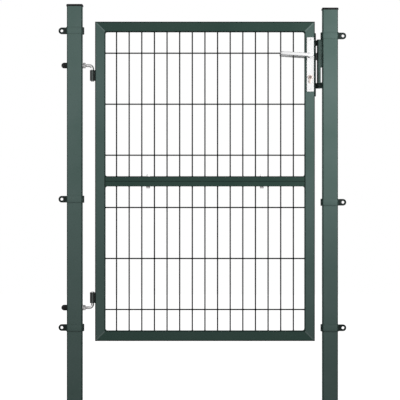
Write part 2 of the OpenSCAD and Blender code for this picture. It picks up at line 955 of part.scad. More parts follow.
// A cut through the channel's face, with room round the bolt that goes in
module bolt_window(z, bolt_h, bolt_t) {
    translate([strike_x - over, -bolt_t / 2 - window_room, z - bolt_h / 2 - window_room])
        cube([strike_t + 2 * over, bolt_t + 2 * window_room, bolt_h + 2 * window_room]);
}

// An arm behind the leaf that stops it at the closed place
module stop_arm(z) {
    stop_y = plate_y + stop_gap;
    translate([strike_x, strike_w / 2 - strike_t, z])
        cube([strike_depth, stop_y - strike_w / 2 + 2 * strike_t, lug_h]);
    translate([leaf_x1 - stop_overlap, stop_y, z])
        cube([strike_back_x - leaf_x1 + stop_overlap, strike_t, lug_h]);
}

module strike_block() {
    color(moss_green)
        translate([strike_back_x, -strike_w / 2, strike_top - block_h])
            cube([post_face_x - strike_back_x, strike_w, block_h]);
}

module strike_lug() {
    color(moss_green)
        translate([strike_back_x, -strike_w / 2, strike_bottom])
            cube([post_face_x - strike_back_x, strike_w, lug_h]);
}

hinge_post();
hinge_post_cap();
latch_post();
latch_post_cap();
hinge_post_top_clamp();
hinge_post_middle_clamp();
hinge_post_bottom_clamp();
latch_post_top_clamp();
latch_post_middle_clamp();
latch_post_bottom_clamp();
top_hinge_hook();
top_hinge_nut();
top_hinge_dome_nut();
bottom_hinge_hook();
bottom_hinge_nut();
bottom_hinge_dome_nut();
strike_channel();
strike_block();
strike_lug();
top_rail();
upper_hinge_stile();
upper_latch_stile();
upper_middle_rail();
lower_middle_rail();
lower_hinge_stile();
lower_latch_stile();
bottom_rail();
upper_mesh();
lower_mesh();
top_hinge_sleeve();
bottom_hinge_sleeve();
left_frame_bolt();
right_frame_bolt();
lock_case();
lock_faceplate();
front_lock_plate();
back_lock_plate();
key_cylinder();
deadbolt();
front_lever();
back_lever();
lever_spindle();
latch_bolt();
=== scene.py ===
import math
import random

import bmesh
import bpy
from mathutils import Matrix, Vector


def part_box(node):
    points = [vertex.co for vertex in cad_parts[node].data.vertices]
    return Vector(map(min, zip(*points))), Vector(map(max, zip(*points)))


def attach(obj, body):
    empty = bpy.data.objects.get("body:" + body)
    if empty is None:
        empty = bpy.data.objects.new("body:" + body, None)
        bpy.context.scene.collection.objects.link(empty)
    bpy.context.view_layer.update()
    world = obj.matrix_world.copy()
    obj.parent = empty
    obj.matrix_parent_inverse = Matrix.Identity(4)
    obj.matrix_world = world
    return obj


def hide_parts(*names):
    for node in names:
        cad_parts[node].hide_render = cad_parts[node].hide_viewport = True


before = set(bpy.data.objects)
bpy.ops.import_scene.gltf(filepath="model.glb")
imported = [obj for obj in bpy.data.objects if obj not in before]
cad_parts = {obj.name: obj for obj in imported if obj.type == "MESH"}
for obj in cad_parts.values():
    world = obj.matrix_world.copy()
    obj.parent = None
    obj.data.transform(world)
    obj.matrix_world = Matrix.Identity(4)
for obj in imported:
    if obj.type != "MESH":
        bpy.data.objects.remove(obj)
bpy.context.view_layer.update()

# Place of the viewer: the photo is taken almost square to the gate with a long lens.
# The frame is 400 pixels wide and high, and one pixel covers about 3.91 mm on the front of the leaf.
MM = 0.001
PIXEL = 3.912 * MM
PICTURE = 400
LEAF_CENTRE_PX = (204.95, 181.3)
CAMERA_DISTANCE = 9.0
SENSOR = 36.0

leaf_low, leaf_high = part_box("top_rail")[0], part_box("top_rail")[1]
leaf_x0, leaf_x1, leaf_z1 = leaf_low.x, leaf_high.x, leaf_high.z
leaf_z0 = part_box("bottom_rail")[0].z
leaf_front = leaf_low.y
aim_x = (leaf_x0 + leaf_x1) / 2 - (LEAF_CENTRE_PX[0] - PICTURE / 2) * PIXEL
aim_z = (leaf_z0 + leaf_z1) / 2 + (LEAF_CENTRE_PX[1] - PICTURE / 2) * PIXEL

camera = bpy.data.objects.new("camera", bpy.data.cameras.new("camera"))
camera.data.sensor_width = SENSOR
camera.data.lens = SENSOR * CAMERA_DISTANCE / (PICTURE * PIXEL)
camera.location = (aim_x, leaf_front - CAMERA_DISTANCE, aim_z)
camera.rotation_euler = (math.radians(90), 0, 0)
bpy.context.scene.collection.objects.link(camera)
bpy.context.scene.camera = camera
bpy.context.scene.view_settings.view_transform = "Standard"


# Floor and light: a plain pale studio floor, a white surround, and soft lamps.
# The brightest lamp stands to the right and above, so the right post is the palest as in the photo.
def shader_node(tree, kind, **values):
    """Adds a node; a value named like an input socket sets it, any other sets the node's property."""
    node = tree.nodes.new(kind)
    for name, value in values.items():
        socket = node.inputs.get(name.replace("_", " "))
        if socket is not None:
            socket.default_value = value
        else:
            setattr(node, name, value)
    return node


def white_for_the_eye(tree, dim, strength):
    """Shows a plain white background to the camera, reflections and glass, and `dim` light to all else."""
    path = shader_node(tree, "ShaderNodeLightPath")
    seen = path.outputs["Is Camera Ray"]
    for name in ("Is Glossy Ray", "Is Transmission Ray"):
        either = shader_node(tree, "ShaderNodeMath", operation="MAXIMUM")
        tree.links.new(seen, either.inputs[0])
        tree.links.new(path.outputs[name], either.inputs[1])
        seen = either.outputs[0]
    mix = shader_node(tree, "ShaderNodeMixShader")
    tree.links.new(seen, mix.inputs[0])
    tree.links.new(dim, mix.inputs[1])
    tree.links.new(strength, mix.inputs[2])
    return mix.outputs[0]


world = bpy.data.worlds.new("studio")
bpy.context.scene.world = world
world.use_nodes = True
tree = world.node_tree
tree.nodes.clear()
dim = shader_node(tree, "ShaderNodeBackground", Color=(1, 1, 1, 1), Strength=0.12)
bright = shader_node(tree, "ShaderNodeBackground", Color=(1, 1, 1, 1), Strength=1.0)
sky = white_for_the_eye(tree, dim.outputs[0], bright.outputs[0])
tree.links.new(sky, shader_node(tree, "ShaderNodeOutputWorld").inputs["Surface"])

FLOOR_SIZE = 30.0
floor_mesh = bpy.data.meshes.new("floor")
half = FLOOR_SIZE / 2
floor_mesh.from_pydata([(-half, -half, 0), (half, -half, 0), (half, half, 0), (-half, half, 0)], [], [(0, 1, 2, 3)])
floor = bpy.data.objects.new("floor", floor_mesh)
floor.location = (0.5, 0, -0.0005)
bpy.context.scene.collection.objects.link(floor)
floor_paint = bpy.data.materials.new("floor_paint")
floor_paint.use_nodes = True
tree = floor_paint.node_tree
tree.nodes.clear()
matt = shader_node(tree, "ShaderNodeBsdfDiffuse", Color=(0.55, 0.55, 0.55, 1))
glow = shader_node(tree, "ShaderNodeEmission", Color=(1, 1, 1, 1), Strength=1.0)
both = shader_node(tree, "ShaderNodeAddShader")
tree.links.new(matt.outputs[0], both.inputs[0])
tree.links.new(glow.outputs[0], both.inputs[1])
surface = white_for_the_eye(tree, matt.outputs[0], both.outputs[0])
tree.links.new(surface, shader_node(tree, "ShaderNodeOutputMaterial").inputs["Surface"])
floor_mesh.materials.append(floor_paint)


def lamp(name, place, target, size, power, spread=115):
    """A square soft lamp that faces the target; its light fades towards the edge of the spread."""
    light = bpy.data.lights.new(name, "AREA")
    light.size = size
    light.spread = math.radians(spread)
    light.energy = power
    obj = bpy.data.objects.new(name, light)
    obj.location = place
    obj.rotation_euler = (Vector(target) - Vector(place)).to_track_quat("-Z", "Y").to_euler()
    bpy.context.scene.collection.objects.link(obj)


UPPER_MIDDLE = (0.5, 0, 1.6)
lamp("left_lamp", (-1.2, -1.3, 1.8), UPPER_MIDDLE, 0.9, 10.5)
lamp("right_lamp", (1.8, -1.0, 1.5), (0.5, 0, 1.45), 0.8, 11)
lamp("back_lamp", (-0.8, 1.5, 1.9), UPPER_MIDDLE, 0.9, 8)
lamp("back_right_lamp", (1.7, 1.3, 1.7), UPPER_MIDDLE, 0.8, 5)


# Posts: 60 mm square steel tube with a 2 mm wall, hot-dip zinc coated and then powder coated moss green.
# They are set in concrete at the foot, so their lower ends are open cut tube.
CORNER_STEPS = 6


def rounded(width, depth, radius, steps=CORNER_STEPS, flat_edge=0):
    """Outline of a rectangle with round corners, about the origin; radius may differ for each corner.

    With flat_edge, a point that far inside each flat keeps the flat's shading even up to the corner.
    """
    radii = radius if isinstance(radius, tuple) else (radius,) * 4
    points = []
    for quarter, (sx, sy) in enumerate(((1, 1), (-1, 1), (-1, -1), (1, -1))):
        r = radii[quarter]
        centre = (sx * (width / 2 - r), sy * (depth / 2 - r))
        for i in range(steps + 1):
            a = math.radians(90 * (quarter + i / steps))
            point = (centre[0] + r * math.cos(a), centre[1] + r * math.sin(a))
            ahead = (-flat_edge * math.sin(a), flat_edge * math.cos(a))
            if flat_edge and i == 0:
                points.append((point[0] - ahead[0], point[1] - ahead[1]))
            points.append(point)
            if flat_edge and i == steps:
                points.append((point[0] + ahead[0], point[1] + ahead[1]))
    return points


class Shape:
    """Collects rings, faces and whole bodies, then becomes one mesh object."""

    def __init__(self):
        self.bm = bmesh.new()

    def ring(self, points):
        return [self.bm.verts.new(p) for p in points]

    def wall(self, ring_a, ring_b):
        """Faces between two rings with the same number of points."""
        n = len(ring_a)
        for i in range(n):
            j = (i + 1) % n
            self.bm.faces.new((ring_a[i], ring_a[j], ring_b[j], ring_b[i]))

    def skin(self, rings, start=True, end=True):
        """A closed body through a row of rings, with its ends filled where asked."""
        made = [self.ring(points) for points in rings]
        for a, b in zip(made, made[1:]):
            self.wall(a, b)
        if start:
            self.bm.faces.new(made[0])
        if end:
            self.bm.faces.new(list(reversed(made[-1])))
        return made

    def loop(self, rings):
        """A ring-shaped body: the last ring joins the first."""
        made = [self.ring(points) for points in rings]
        for a, b in zip(made, made[1:] + made[:1]):
            self.wall(a, b)

    def piece(self, name, material, body, nodes=(), smooth=32, bevel=0, bevel_steps=2):
        """Finishes the mesh, shades it smooth up to an angle and hangs it on its body."""
        bmesh.ops.remove_doubles(self.bm, verts=self.bm.verts, dist=1e-6)
        bmesh.ops.recalc_face_normals(self.bm, faces=self.bm.faces)
        mesh = bpy.data.meshes.new(name)
        self.bm.to_mesh(mesh)
        self.bm.free()
        obj = bpy.data.objects.new(name, mesh)
        bpy.context.scene.collection.objects.link(obj)
        if bevel:
            add_bevel(obj, bevel, bevel_steps)
        mesh = obj.data
        mesh.shade_smooth()
        mesh.set_sharp_from_angle(angle=math.radians(smooth))
        mesh.materials.clear()
        mesh.materials.append(material)
        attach(obj, body)
        if nodes:
            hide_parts(*nodes)
        return obj


def settle(obj):
    """Applies the object's modifiers to its mesh."""
    depsgraph = bpy.context.evaluated_depsgraph_get()
    mesh = bpy.data.meshes.new_from_object(obj.evaluated_get(depsgraph))
    obj.modifiers.clear()
    obj.data = mesh


def add_bevel(obj, width, steps):
    """Rounds the sharp edges of a finished mesh."""
    mod = obj.modifiers.new("bevel", "BEVEL")
    mod.width = width
    mod.segments = steps
    mod.limit_method = "ANGLE"
    mod.angle_limit = math.radians(40)
    settle(obj)


def add_group(name, inputs, outputs):
    """An empty shader node group with named number inputs and the given outputs."""
    group = bpy.data.node_groups.new(name, "ShaderNodeTree")
    for label, default in inputs:
        socket = group.interface.new_socket(label, in_out="INPUT", socket_type="NodeSocketFloat")
        socket.default_value = default
    for label, kind in outputs:
        group.interface.new_socket(label, in_out="OUTPUT", socket_type=kind)
    return group, group.nodes.new("NodeGroupInput"), group.nodes.new("NodeGroupOutput")


def use_group(tree, group, **values):
    node = tree.nodes.new("ShaderNodeGroup")
    node.node_tree = group
    for name, value in values.items():
        node.inputs[name.replace("_", " ")].default_value = value
    return node


def stretched_place(tree, stretch):
    """Object coordinates, scaled along each axis."""
    place = shader_node(tree, "ShaderNodeTexCoord")
    scale = shader_node(tree, "ShaderNodeVectorMath", operation="MULTIPLY")
    scale.inputs[1].default_value = stretch
    tree.links.new(place.outputs["Object"], scale.inputs[0])
    return scale.outputs[0]


# Orange peel of a sprayed and baked coat, with slow waves in the metal under it
coat_grain, grain_in, grain_out = add_group(
    "coat_grain", [("Peel", 0.6), ("Waves", 0.4), ("Lumps", 0.0)], [("Height", "NodeSocketFloat")])
grain_parts = []
for label, scale, detail in (("Peel", 620.0, 2.0), ("Waves", 26.0, 1.0), ("Lumps", 150.0, 3.0)):
    noise = shader_node(coat_grain, "ShaderNodeTexNoise", Scale=scale, Detail=detail)
    coat_grain.links.new(stretched_place(coat_grain, (1, 1, 1)), noise.inputs["Vector"])
    amount = shader_node(coat_grain, "ShaderNodeMath", operation="MULTIPLY")
    coat_grain.links.new(noise.outputs["Fac"], amount.inputs[0])
    coat_grain.links.new(grain_in.outputs[label], amount.inputs[1])
    grain_parts.append(amount.outputs[0])
peel_and_waves = shader_node(coat_grain, "ShaderNodeMath", operation="ADD")
all_grain = shader_node(coat_grain, "ShaderNodeMath", operation="ADD")
coat_grain.links.new(grain_parts[0], peel_and_waves.inputs[0])
coat_grain.links.new(grain_parts[1], peel_and_waves.inputs[1])
coat_grain.links.new(peel_and_waves.outputs[0], all_grain.inputs[0])
coat_grain.links.new(grain_parts[2], all_grain.inputs[1])
coat_grain.links.new(all_grain.outputs[0], grain_out.inputs["Height"])

# Where the surface turns from one flat side to the next: 1 on the round corner, 0 on the flats. Coats use it for
# painted shade.
corner_mask, corner_in, corner_out = add_group(
    "corner_mask", [("Start", 0.999), ("Full", 0.94)], [("Mask", "NodeSocketFloat")])
turn = shader_node(corner_mask, "ShaderNodeTexCoord")
absolute = shader_node(corner_mask, "ShaderNodeVectorMath", operation="ABSOLUTE")
split = shader_node(corner_mask, "ShaderNodeSeparateXYZ")
corner_mask.links.new(turn.outputs["Normal"], absolute.inputs[0])
corner_mask.links.new(absolute.outputs[0], split.inputs[0])
most = shader_node(corner_mask, "ShaderNodeMath", operation="MAXIMUM")
corner_mask.links.new(split.outputs["X"], most.inputs[0])
corner_mask.links.new(split.outputs["Y"], most.inputs[1])
most_of_all = shader_node(corner_mask, "ShaderNodeMath", operation="MAXIMUM")
corner_mask.links.new(most.outputs[0], most_of_all.inputs[0])
corner_mask.links.new(split.outputs["Z"], most_of_all.inputs[1])
turned = shader_node(corner_mask, "ShaderNodeMapRange", interpolation_type="SMOOTHSTEP")
corner_mask.links.new(most_of_all.outputs[0], turned.inputs["Value"])
corner_mask.links.new(corner_in.outputs["Start"], turned.inputs["From Min"])
corner_mask.links.new(corner_in.outputs["Full"], turned.inputs["From Max"])
corner_mask.links.new(turned.outputs["Result"], corner_out.inputs["Mask"])

# Patchy tone: cloudy changes of colour and fine specks of dust, both from 0 to 1
patchy, patchy_in, patchy_out = add_group(
    "patchy_tone", [("Cloud Size", 6.0), ("Speck Size", 420.0)],
    [("Cloud", "NodeSocketFloat"), ("Specks", "NodeSocketFloat")])
for label, source, detail, low, high in (
    ("Cloud", "Cloud Size", 4.0, 0.32, 0.72), ("Specks", "Speck Size", 1.0, 0.66, 0.78),
):
    noise = shader_node(patchy, "ShaderNodeTexNoise", Detail=detail)
    patchy.links.new(stretched_place(patchy, (1, 1, 1)), noise.inputs["Vector"])
    patchy.links.new(patchy_in.outputs[source], noise.inputs["Scale"])
    spread = shader_node(patchy, "ShaderNodeMapRange", From_Min=low, From_Max=high)
    patchy.links.new(noise.outputs["Fac"], spread.inputs["Value"])
    patchy.links.new(spread.outputs["Result"], patchy_out.inputs[label])


def blend_colour(tree, mask, low, high):
    """A colour that goes from low to high with the mask; either may be a colour or a socket."""
    mix = shader_node(tree, "ShaderNodeMix", data_type="RGBA")
    tree.links.new(mask, mix.inputs["Factor"])
    for socket, value in zip((mix.inputs[6], mix.inputs[7]), (low, high)):
        if isinstance(value, tuple):
            socket.default_value = (*value, 1)
        else:
            tree.links.new(value, socket)
    return mix.outputs[2]


def spread_value(tree, mask, low, high):
    """A number that goes from low to high with the mask."""
    out = shader_node(tree, "ShaderNodeMapRange", To_Min=low, To_Max=high)
    tree.links.new(mask, out.inputs["Value"])
    return out.outputs["Result"]


def start_material(name, **principled):
    material = bpy.data.materials.new(name)
    material.use_nodes = True
    tree = material.node_tree
    shader = tree.nodes["Principled BSDF"]
    for key, value in principled.items():
        shader.inputs[key.replace("_", " ")].default_value = value
    return material, tree, shader


def bump_from(tree, shader, height, strength, distance):
    bump = shader_node(tree, "ShaderNodeBump", Strength=strength, Distance=distance)
    tree.links.new(height, bump.inputs["Height"])
    tree.links.new(bump.outputs["Normal"], shader.inputs["Normal"])


def matt_at_a_glance(tree, shader, rough, worn=None):
    """A satin skin doesn't mirror at a low angle, nor on the given mask, such as a coat's painted-shade corners: its
    roughness rises to 1 there.
    """
    weight = shader_node(tree, "ShaderNodeLayerWeight", Blend=0.5)
    low = shader_node(tree, "ShaderNodeMapRange", From_Min=0.35, From_Max=0.75)
    tree.links.new(weight.outputs["Facing"], low.inputs["Value"])
    matt = low.outputs["Result"]
    if worn:
        either = shader_node(tree, "ShaderNodeMath", operation="MAXIMUM")
        tree.links.new(matt, either.inputs[0])
        tree.links.new(worn, either.inputs[1])
        matt = either.outputs[0]
    mix = shader_node(tree, "ShaderNodeMix", data_type="FLOAT")
    tree.links.new(matt, mix.inputs["Factor"])
    tree.links.new(rough, mix.inputs["A"])
    mix.inputs["B"].default_value = 1.0
    tree.links.new(mix.outputs["Result"], shader.inputs["Roughness"])


def powder_coat(name, deep, pale, corner, rough=(0.37, 0.43), shine=0.25):
    """Satin powder coat: cloudy green, darker on the round corners as painted shade, pale specks of dust."""
    material, tree, shader = start_material(name, Specular_IOR_Level=shine)
    tone = use_group(tree, patchy)
    mask = use_group(tree, corner_mask)
    grain = use_group(tree, coat_grain)
    green = blend_colour(tree, tone.outputs["Cloud"], deep, pale)
    dusty = blend_colour(tree, spread_value(tree, tone.outputs["Specks"], 0, 0.10), green, (0.30, 0.33, 0.31))
    # The corner colour is painted shade along the round corners.
    with_painted_corner_shade = blend_colour(tree, mask.outputs["Mask"], dusty, corner)
    tree.links.new(with_painted_corner_shade, shader.inputs["Base Color"])
    matt_at_a_glance(tree, shader, spread_value(tree, tone.outputs["Cloud"], *rough), mask.outputs["Mask"])
    bump_from(tree, shader, grain.outputs["Height"], 0.16, 0.4 * MM)
    return material


moss_coat = powder_coat("moss_coat", (0.060, 0.103, 0.090), (0.078, 0.120, 0.110), (0.014, 0.028, 0.024))

POST_CORNER = 4 * MM
POST_WALL = 2 * MM
FLAT_EDGE = 0.5 * MM


def square_tube(shape, centre, width, depth, low, high, corner, wall):
    """An upright open tube with its wall showing at both ends."""
    outer = rounded(width, depth, corner, flat_edge=FLAT_EDGE)
    inner = rounded(width - 2 * wall, depth - 2 * wall, corner - wall / 2, flat_edge=FLAT_EDGE)

    def ring(points, z):
        return [(centre[0] + x, centre[1] + y, z) for x, y in points]

    shape.loop([ring(outer, low), ring(outer, high), ring(inner, high), ring(inner, low)])


for post in ("hinge_post", "latch_post"):
    low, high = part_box(post)
    shape = Shape()
    centre = ((low.x + high.x) / 2, (low.y + high.y) / 2)
    square_tube(shape, centre, high.x - low.x, high.y - low.y, low.z, high.z, POST_CORNER, POST_WALL)
    shape.piece(post + "_tube", moss_coat, "root", [post])

# Post caps: black polyethylene, moulded and pressed over the end of the tube. The upper edge is bevelled
# and the top sinks a little towards its middle.
black_plastic, tree, shader = start_material("black_plastic", Specular_IOR_Level=0.15)
tone = use_group(tree, patchy, Cloud_Size=14.0)
grain = use_group(tree, coat_grain, Peel=0.9, Waves=0.1)
black = blend_colour(tree, tone.outputs["Cloud"], (0.003, 0.0035, 0.0035), (0.006, 0.007, 0.007))
dusty = blend_colour(tree, spread_value(tree, tone.outputs["Specks"], 0, 0.12), black, (0.06, 0.065, 0.06))
tree.links.new(dusty, shader.inputs["Base Color"])
matt_at_a_glance(tree, shader, spread_value(tree, tone.outputs["Cloud"], 0.36, 0.46))
bump_from(tree, shader, grain.outputs["Height"], 0.25, 0.3 * MM)


def flat_ring(centre, width, corner, z):
    """An upright ring of points round a square with round corners."""
    return [(centre[0] + x, centre[1] + y, z) for x, y in rounded(width, width, corner)]


for post in ("hinge_post", "latch_post"):
    low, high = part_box(post + "_cap")
    tube_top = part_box(post)[1].z
    centre = ((low.x + high.x) / 2, (low.y + high.y) / 2)
    width = high.x - low.x
    inside = width - 4 * MM
    corner = POST_CORNER + 2 * MM
    shape = Shape()
    shape.skin([
        flat_ring(centre, inside, POST_CORNER, tube_top),
        flat_ring(centre, inside, POST_CORNER, low.z + 0.5 * MM),
        flat_ring(centre, inside + 0.8 * MM, POST_CORNER + 0.4 * MM, low.z),
        flat_ring(centre, width - 0.8 * MM, corner - 0.4 * MM, low.z),
        flat_ring(centre, width, corner, low.z + 0.4 * MM),
        flat_ring(centre, width, corner, high.z - 2.4 * MM),
        flat_ring(centre, width - 0.8 * MM, corner - 0.4 * MM, high.z - 1.5 * MM),
        flat_ring(centre, width - 3.2 * MM, corner - 1.6 * MM, high.z - 0.3 * MM),
        flat_ring(centre, width - 5 * MM, corner - 2.4 * MM, high.z),
        flat_ring(centre, width - 16 * MM, corner - 2.4 * MM, high.z - 0.2 * MM),
        flat_ring(centre, width - 40 * MM, corner - 2.4 * MM, high.z - 0.7 * MM),
    ])
    shape.piece(post + "_plug", black_plastic, "root", [post + "_cap"], smooth=50)

# Fence clamps: galvanised strip, 2.5 mm thick, bent round the post and powder coated. The two ends are
# folded into hooks on the inner side, and the two ears on the outer side take the fence's bolt.
STRAP = 2.5 * MM
EAR_GAP = 2 * MM
EAR_HOLE = 5.5 * MM
HOOK_END = (5 * MM, 28 * MM)
HOOK_OUT = 4 * MM


def arc(centre, radius, start, end, steps):
    """Points on an arc between two angles in degrees."""
    return [(
        centre[0] + radius * math.cos(math.radians(start + (end - start) * i / steps)),
        centre[1] + radius * math.sin(math.radians(start + (end - start) * i / steps)),
    ) for i in range(steps + 1)]


def sheet(shape, outlines, place, low, high):
    """A flat body with the first outline, less the others; place turns (u, v, w) into a point."""
    rings = []
    for w in (low, high):
        level = [shape.ring([place(u, v, w) for u, v in outline]) for outline in outlines]
        edges = []
        for ring in level:
            edges += [shape.bm.edges.new((a, b)) for a, b in zip(ring, ring[1:] + ring[:1])]
        bmesh.ops.triangle_fill(shape.bm, use_beauty=True, edges=edges)
        rings.append(level)
    for ring_a, ring_b in zip(*rings):
        shape.wall(ring_a, ring_b)


def tool(build, *args):
    """A plain object from a function that fills a shape, to join to or cut from another."""
    shape = Shape()
    build(shape, *args)
    bmesh.ops.recalc_face_normals(shape.bm, faces=shape.bm.faces)
    mesh = bpy.data.meshes.new("tool")
    shape.bm.to_mesh(mesh)
    shape.bm.free()
    obj = bpy.data.objects.new("tool", mesh)
    bpy.context.scene.collection.objects.link(obj)
    return obj


def combine(obj, others, operation):
    """Joins others to obj or cuts them from it, and removes them."""
    for other in others:
        mod = obj.modifiers.new("combine", "BOOLEAN")
        mod.operation = operation
        mod.solver = "EXACT"
        mod.object = other
    settle(obj)
    for other in others:
        bpy.data.objects.remove(other)
    return obj


def finish_object(obj, name, material, body, nodes, smooth=32, bevel=0, steps=2):
    """Names an object that was combined from tools and hangs it on its body."""
    obj.name = name
    shape = Shape()
    shape.bm.from_mesh(obj.data)
    bpy.data.objects.remove(obj)
    return shape.piece(name, material, body, nodes, smooth, bevel, steps)


def upright(u, v, w):
    return (u, v, w)


def facing(u, v, w):
    return (u, w, v)


def strap_outline(inner, side):
    """One half of the strap seen from above: an ear's root, the bend, two faces of the post and a hook's root."""
    half = inner / 2
    far = half + STRAP
    gap = EAR_GAP / 2
    bend = 1.5 * MM
    outer_bend = bend + STRAP
    corner = POST_CORNER
    points = [(half + outer_bend + 0.5 * MM, gap)]
    points += [(half + 0.01 * MM, gap)]
    points += arc((half - corner, half - corner), corner, 0, 90, 6)
    points += arc((corner - half, half - corner), corner, 90, 180, 6)
    points += [(-half, gap + HOOK_END[0]), (-far, gap + HOOK_END[0])]
    points += arc((corner - half, half - corner), corner + STRAP, 180, 90, 8)
    points += arc((half - corner, half - corner), corner + STRAP, 90, 0, 8)
    points += arc((far + bend, gap + STRAP + bend), bend, 180, 270, 5)
    points += [(half + outer_bend + 0.5 * MM, gap + STRAP)]
    return [(x, side * y) for x, y in points]


def clamp_mesh(inner, strap_height, ear_height, reach):
    """A whole clamp about its own middle, with its ears towards +X."""
    half = inner / 2
    tip = half + reach - 0.15 * MM
    parts = []
    for side in (-1, 1):
        parts.append(tool(sheet, [strap_outline(inner, side)], upright, -strap_height / 2, strap_height / 2))
        root = half + 3.5 * MM
        ear = [(root, -ear_height / 2)] + arc((tip, 0), ear_height / 2, -90, 90, 20) + [(root, ear_height / 2)]
        hole = arc((tip, 0), EAR_HOLE, 0, 360 - 15, 23)
        near = side * EAR_GAP / 2
        parts.append(tool(sheet, [ear, hole], facing, near, near + side * STRAP))
        hook = [(-half - STRAP / 2 - HOOK_OUT / 2 + u, v) for u, v in rounded(
            HOOK_OUT + STRAP, HOOK_END[1], 1.8 * MM)]
        parts.append(tool(sheet, [hook], facing, near, near + side * HOOK_END[0]))
    obj = combine(parts[0], parts[1:], "UNION")
    add_bevel(obj, 0.5 * MM, 2)
    return obj


# A dark coat: the lug bolt's colour, and painted shade on the clamps' ears and hooks.
dark_coat_and_painted_shade = powder_coat("dark_coat_and_painted_shade", (0.006, 0.012, 0.011), (0.009, 0.017, 0.015), (0.002, 0.004, 0.004), shine=0.15)
low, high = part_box("latch_post_middle_clamp")
post_low, post_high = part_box("latch_post")
ear_low = post_high.x
CLAMP_PLAY = 0.3 * MM
clamp = clamp_mesh(
    post_high.x - post_low.x + CLAMP_PLAY, 26 * MM, 26 * MM, high.x - 13 * MM - post_high.x)
for post, ears in (("hinge_post", -1), ("latch_post", 1)):
    low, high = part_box(post)
    for place in ("top", "middle", "bottom"):
        node = f"{post}_{place}_clamp"
        box_low, box_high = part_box(node)
        shape = Shape()
        shape.bm.from_mesh(clamp.data)
        bmesh.ops.transform(shape.bm, verts=shape.bm.verts, matrix=Matrix.Translation((
            (low.x + high.x) / 2, (low.y + high.y) / 2, (box_low.z + box_high.z) / 2,
        )) @ Matrix.Diagonal((ears, 1, 1, 1)))
        strip = shape.piece(node + "_strip", moss_coat, "root", [node])
        # Faces beyond the post's sides, the ears and hooks, take the dark coat: painted shade on the one coat of the
        # strip.
        strip.data.materials.append(dark_coat_and_painted_shade)
        for face in strip.data.polygons:
            if abs(face.center.x - (low.x + high.x) / 2) > (high.x - low.x) / 2 + STRAP + 0.2 * MM:
                face.material_index = 1
bpy.data.objects.remove(clamp)

# Hinge hooks: 12 mm steel bar, bent to an L, with an M12 thread on the rod and bright zinc plate all over.
# The rod goes through the post; the pin of the upper hook points down and that of the lower one up.
HOOK_BEND = 14 * MM
THREAD_PITCH = 1.75 * MM
THREAD_DEPTH = 0.95 * MM
ROUND_STEPS = 24


def circle(place, across, up, radius, steps=ROUND_STEPS):
    """A ring of points about a place, in the plane of two directions."""
    return [
        place + across * (radius * math.cos(2 * math.pi * i / steps)) + up * (radius * math.sin(2 * math.pi * i / steps))
        for i in range(steps)
    ]


def turned(shape, base, axis, profile, steps=ROUND_STEPS, closed=False):
    """A turned body about an axis; the profile is a row of (distance along the axis, radius)."""
    axis = Vector(axis)
    across = axis.orthogonal().normalized()
    up = axis.cross(across)
    rings = [circle(Vector(base) + axis * along, across, up, radius, steps) for along, radius in profile]
    if closed:
        shape.loop(rings)
    else:
        shape.skin(rings)


def threaded(shape, base, axis, length, radius):
    """A length of bar with a screw thread cut into it."""
    axis = Vector(axis)
    across = axis.orthogonal().normalized()
    up = axis.cross(across)
    turns = length / THREAD_PITCH
    rings = []
    count = int(turns * 6)
    for k in range(count + 1):
        along = length * k / count
        centre = Vector(base) + axis * along
        run_out = min(1, along / THREAD_PITCH, (length - along) / THREAD_PITCH)
        ring = []
        for i in range(ROUND_STEPS):
            phase = (along / THREAD_PITCH - i / ROUND_STEPS) % 1
            groove = max(0, 1 - abs(phase - 0.5) / 0.42) * THREAD_DEPTH * run_out
            a = 2 * math.pi * i / ROUND_STEPS
            ring.append(centre + (across * math.cos(a) + up * math.sin(a)) * (radius - groove))
        rings.append(ring)
    shape.skin(rings)


# How far a surface faces down, from 0 to 1; plated metal uses it for painted shade on its underside
underside, under_in, under_out = add_group(
    "underside", [("From", 0.1), ("To", 0.9)], [("Mask", "NodeSocketFloat")])
way = shader_node(underside, "ShaderNodeTexCoord")
parts = shader_node(underside, "ShaderNodeSeparateXYZ")
underside.links.new(way.outputs["Normal"], parts.inputs[0])
down = shader_node(underside, "ShaderNodeMath", operation="MULTIPLY")
underside.links.new(parts.outputs["Z"], down.inputs[0])
down.inputs[1].default_value = -1
facing_down = shader_node(underside, "ShaderNodeMapRange")
underside.links.new(down.outputs[0], facing_down.inputs["Value"])
underside.links.new(under_in.outputs["From"], facing_down.inputs["From Min"])
underside.links.new(under_in.outputs["To"], facing_down.inputs["From Max"])
underside.links.new(facing_down.outputs["Result"], under_out.inputs["Mask"])


def plated(name, tint, rough, streak, axis_stretch, painted_underside_shade=0.3):
    """Plated steel: bright metal with a fine grain along the work, and painted shade on its underside."""
    material, tree, shader = start_material(name, Metallic=1.0)
    tone = use_group(tree, patchy, Cloud_Size=60.0, Speck_Size=300.0)
    fine = shader_node(tree, "ShaderNodeTexNoise", Scale=900.0, Detail=2.0)
    tree.links.new(stretched_place(tree, axis_stretch), fine.inputs["Vector"])
    dull = tuple(0.72 * c for c in tint)
    cloudy = blend_colour(tree, tone.outputs["Cloud"], tint, dull)
    specked = blend_colour(tree, spread_value(tree, tone.outputs["Specks"], 0, 0.35), cloudy, dull)
    below = use_group(tree, underside)
    # Surfaces that face down are darkened: painted shade.
    with_underside_shade = blend_colour(tree, below.outputs["Mask"], specked, tuple(painted_underside_shade * c for c in tint))
    tree.links.new(with_underside_shade, shader.inputs["Base Color"])
    rough_sum = shader_node(tree, "ShaderNodeMath", operation="MULTIPLY_ADD")
    tree.links.new(fine.outputs["Fac"], rough_sum.inputs[0])
    rough_sum.inputs[1].default_value = streak
    rough_sum.inputs[2].default_value = rough
    tree.links.new(rough_sum.outputs[0], shader.inputs["Roughness"])
    bump_from(tree, shader, fine.outputs["Fac"], 0.12, 0.2 * MM)
    return material


zinc_plate = plated("zinc_plate", (0.60, 0.59, 0.59), 0.32, 0.2, (1, 1, 1))

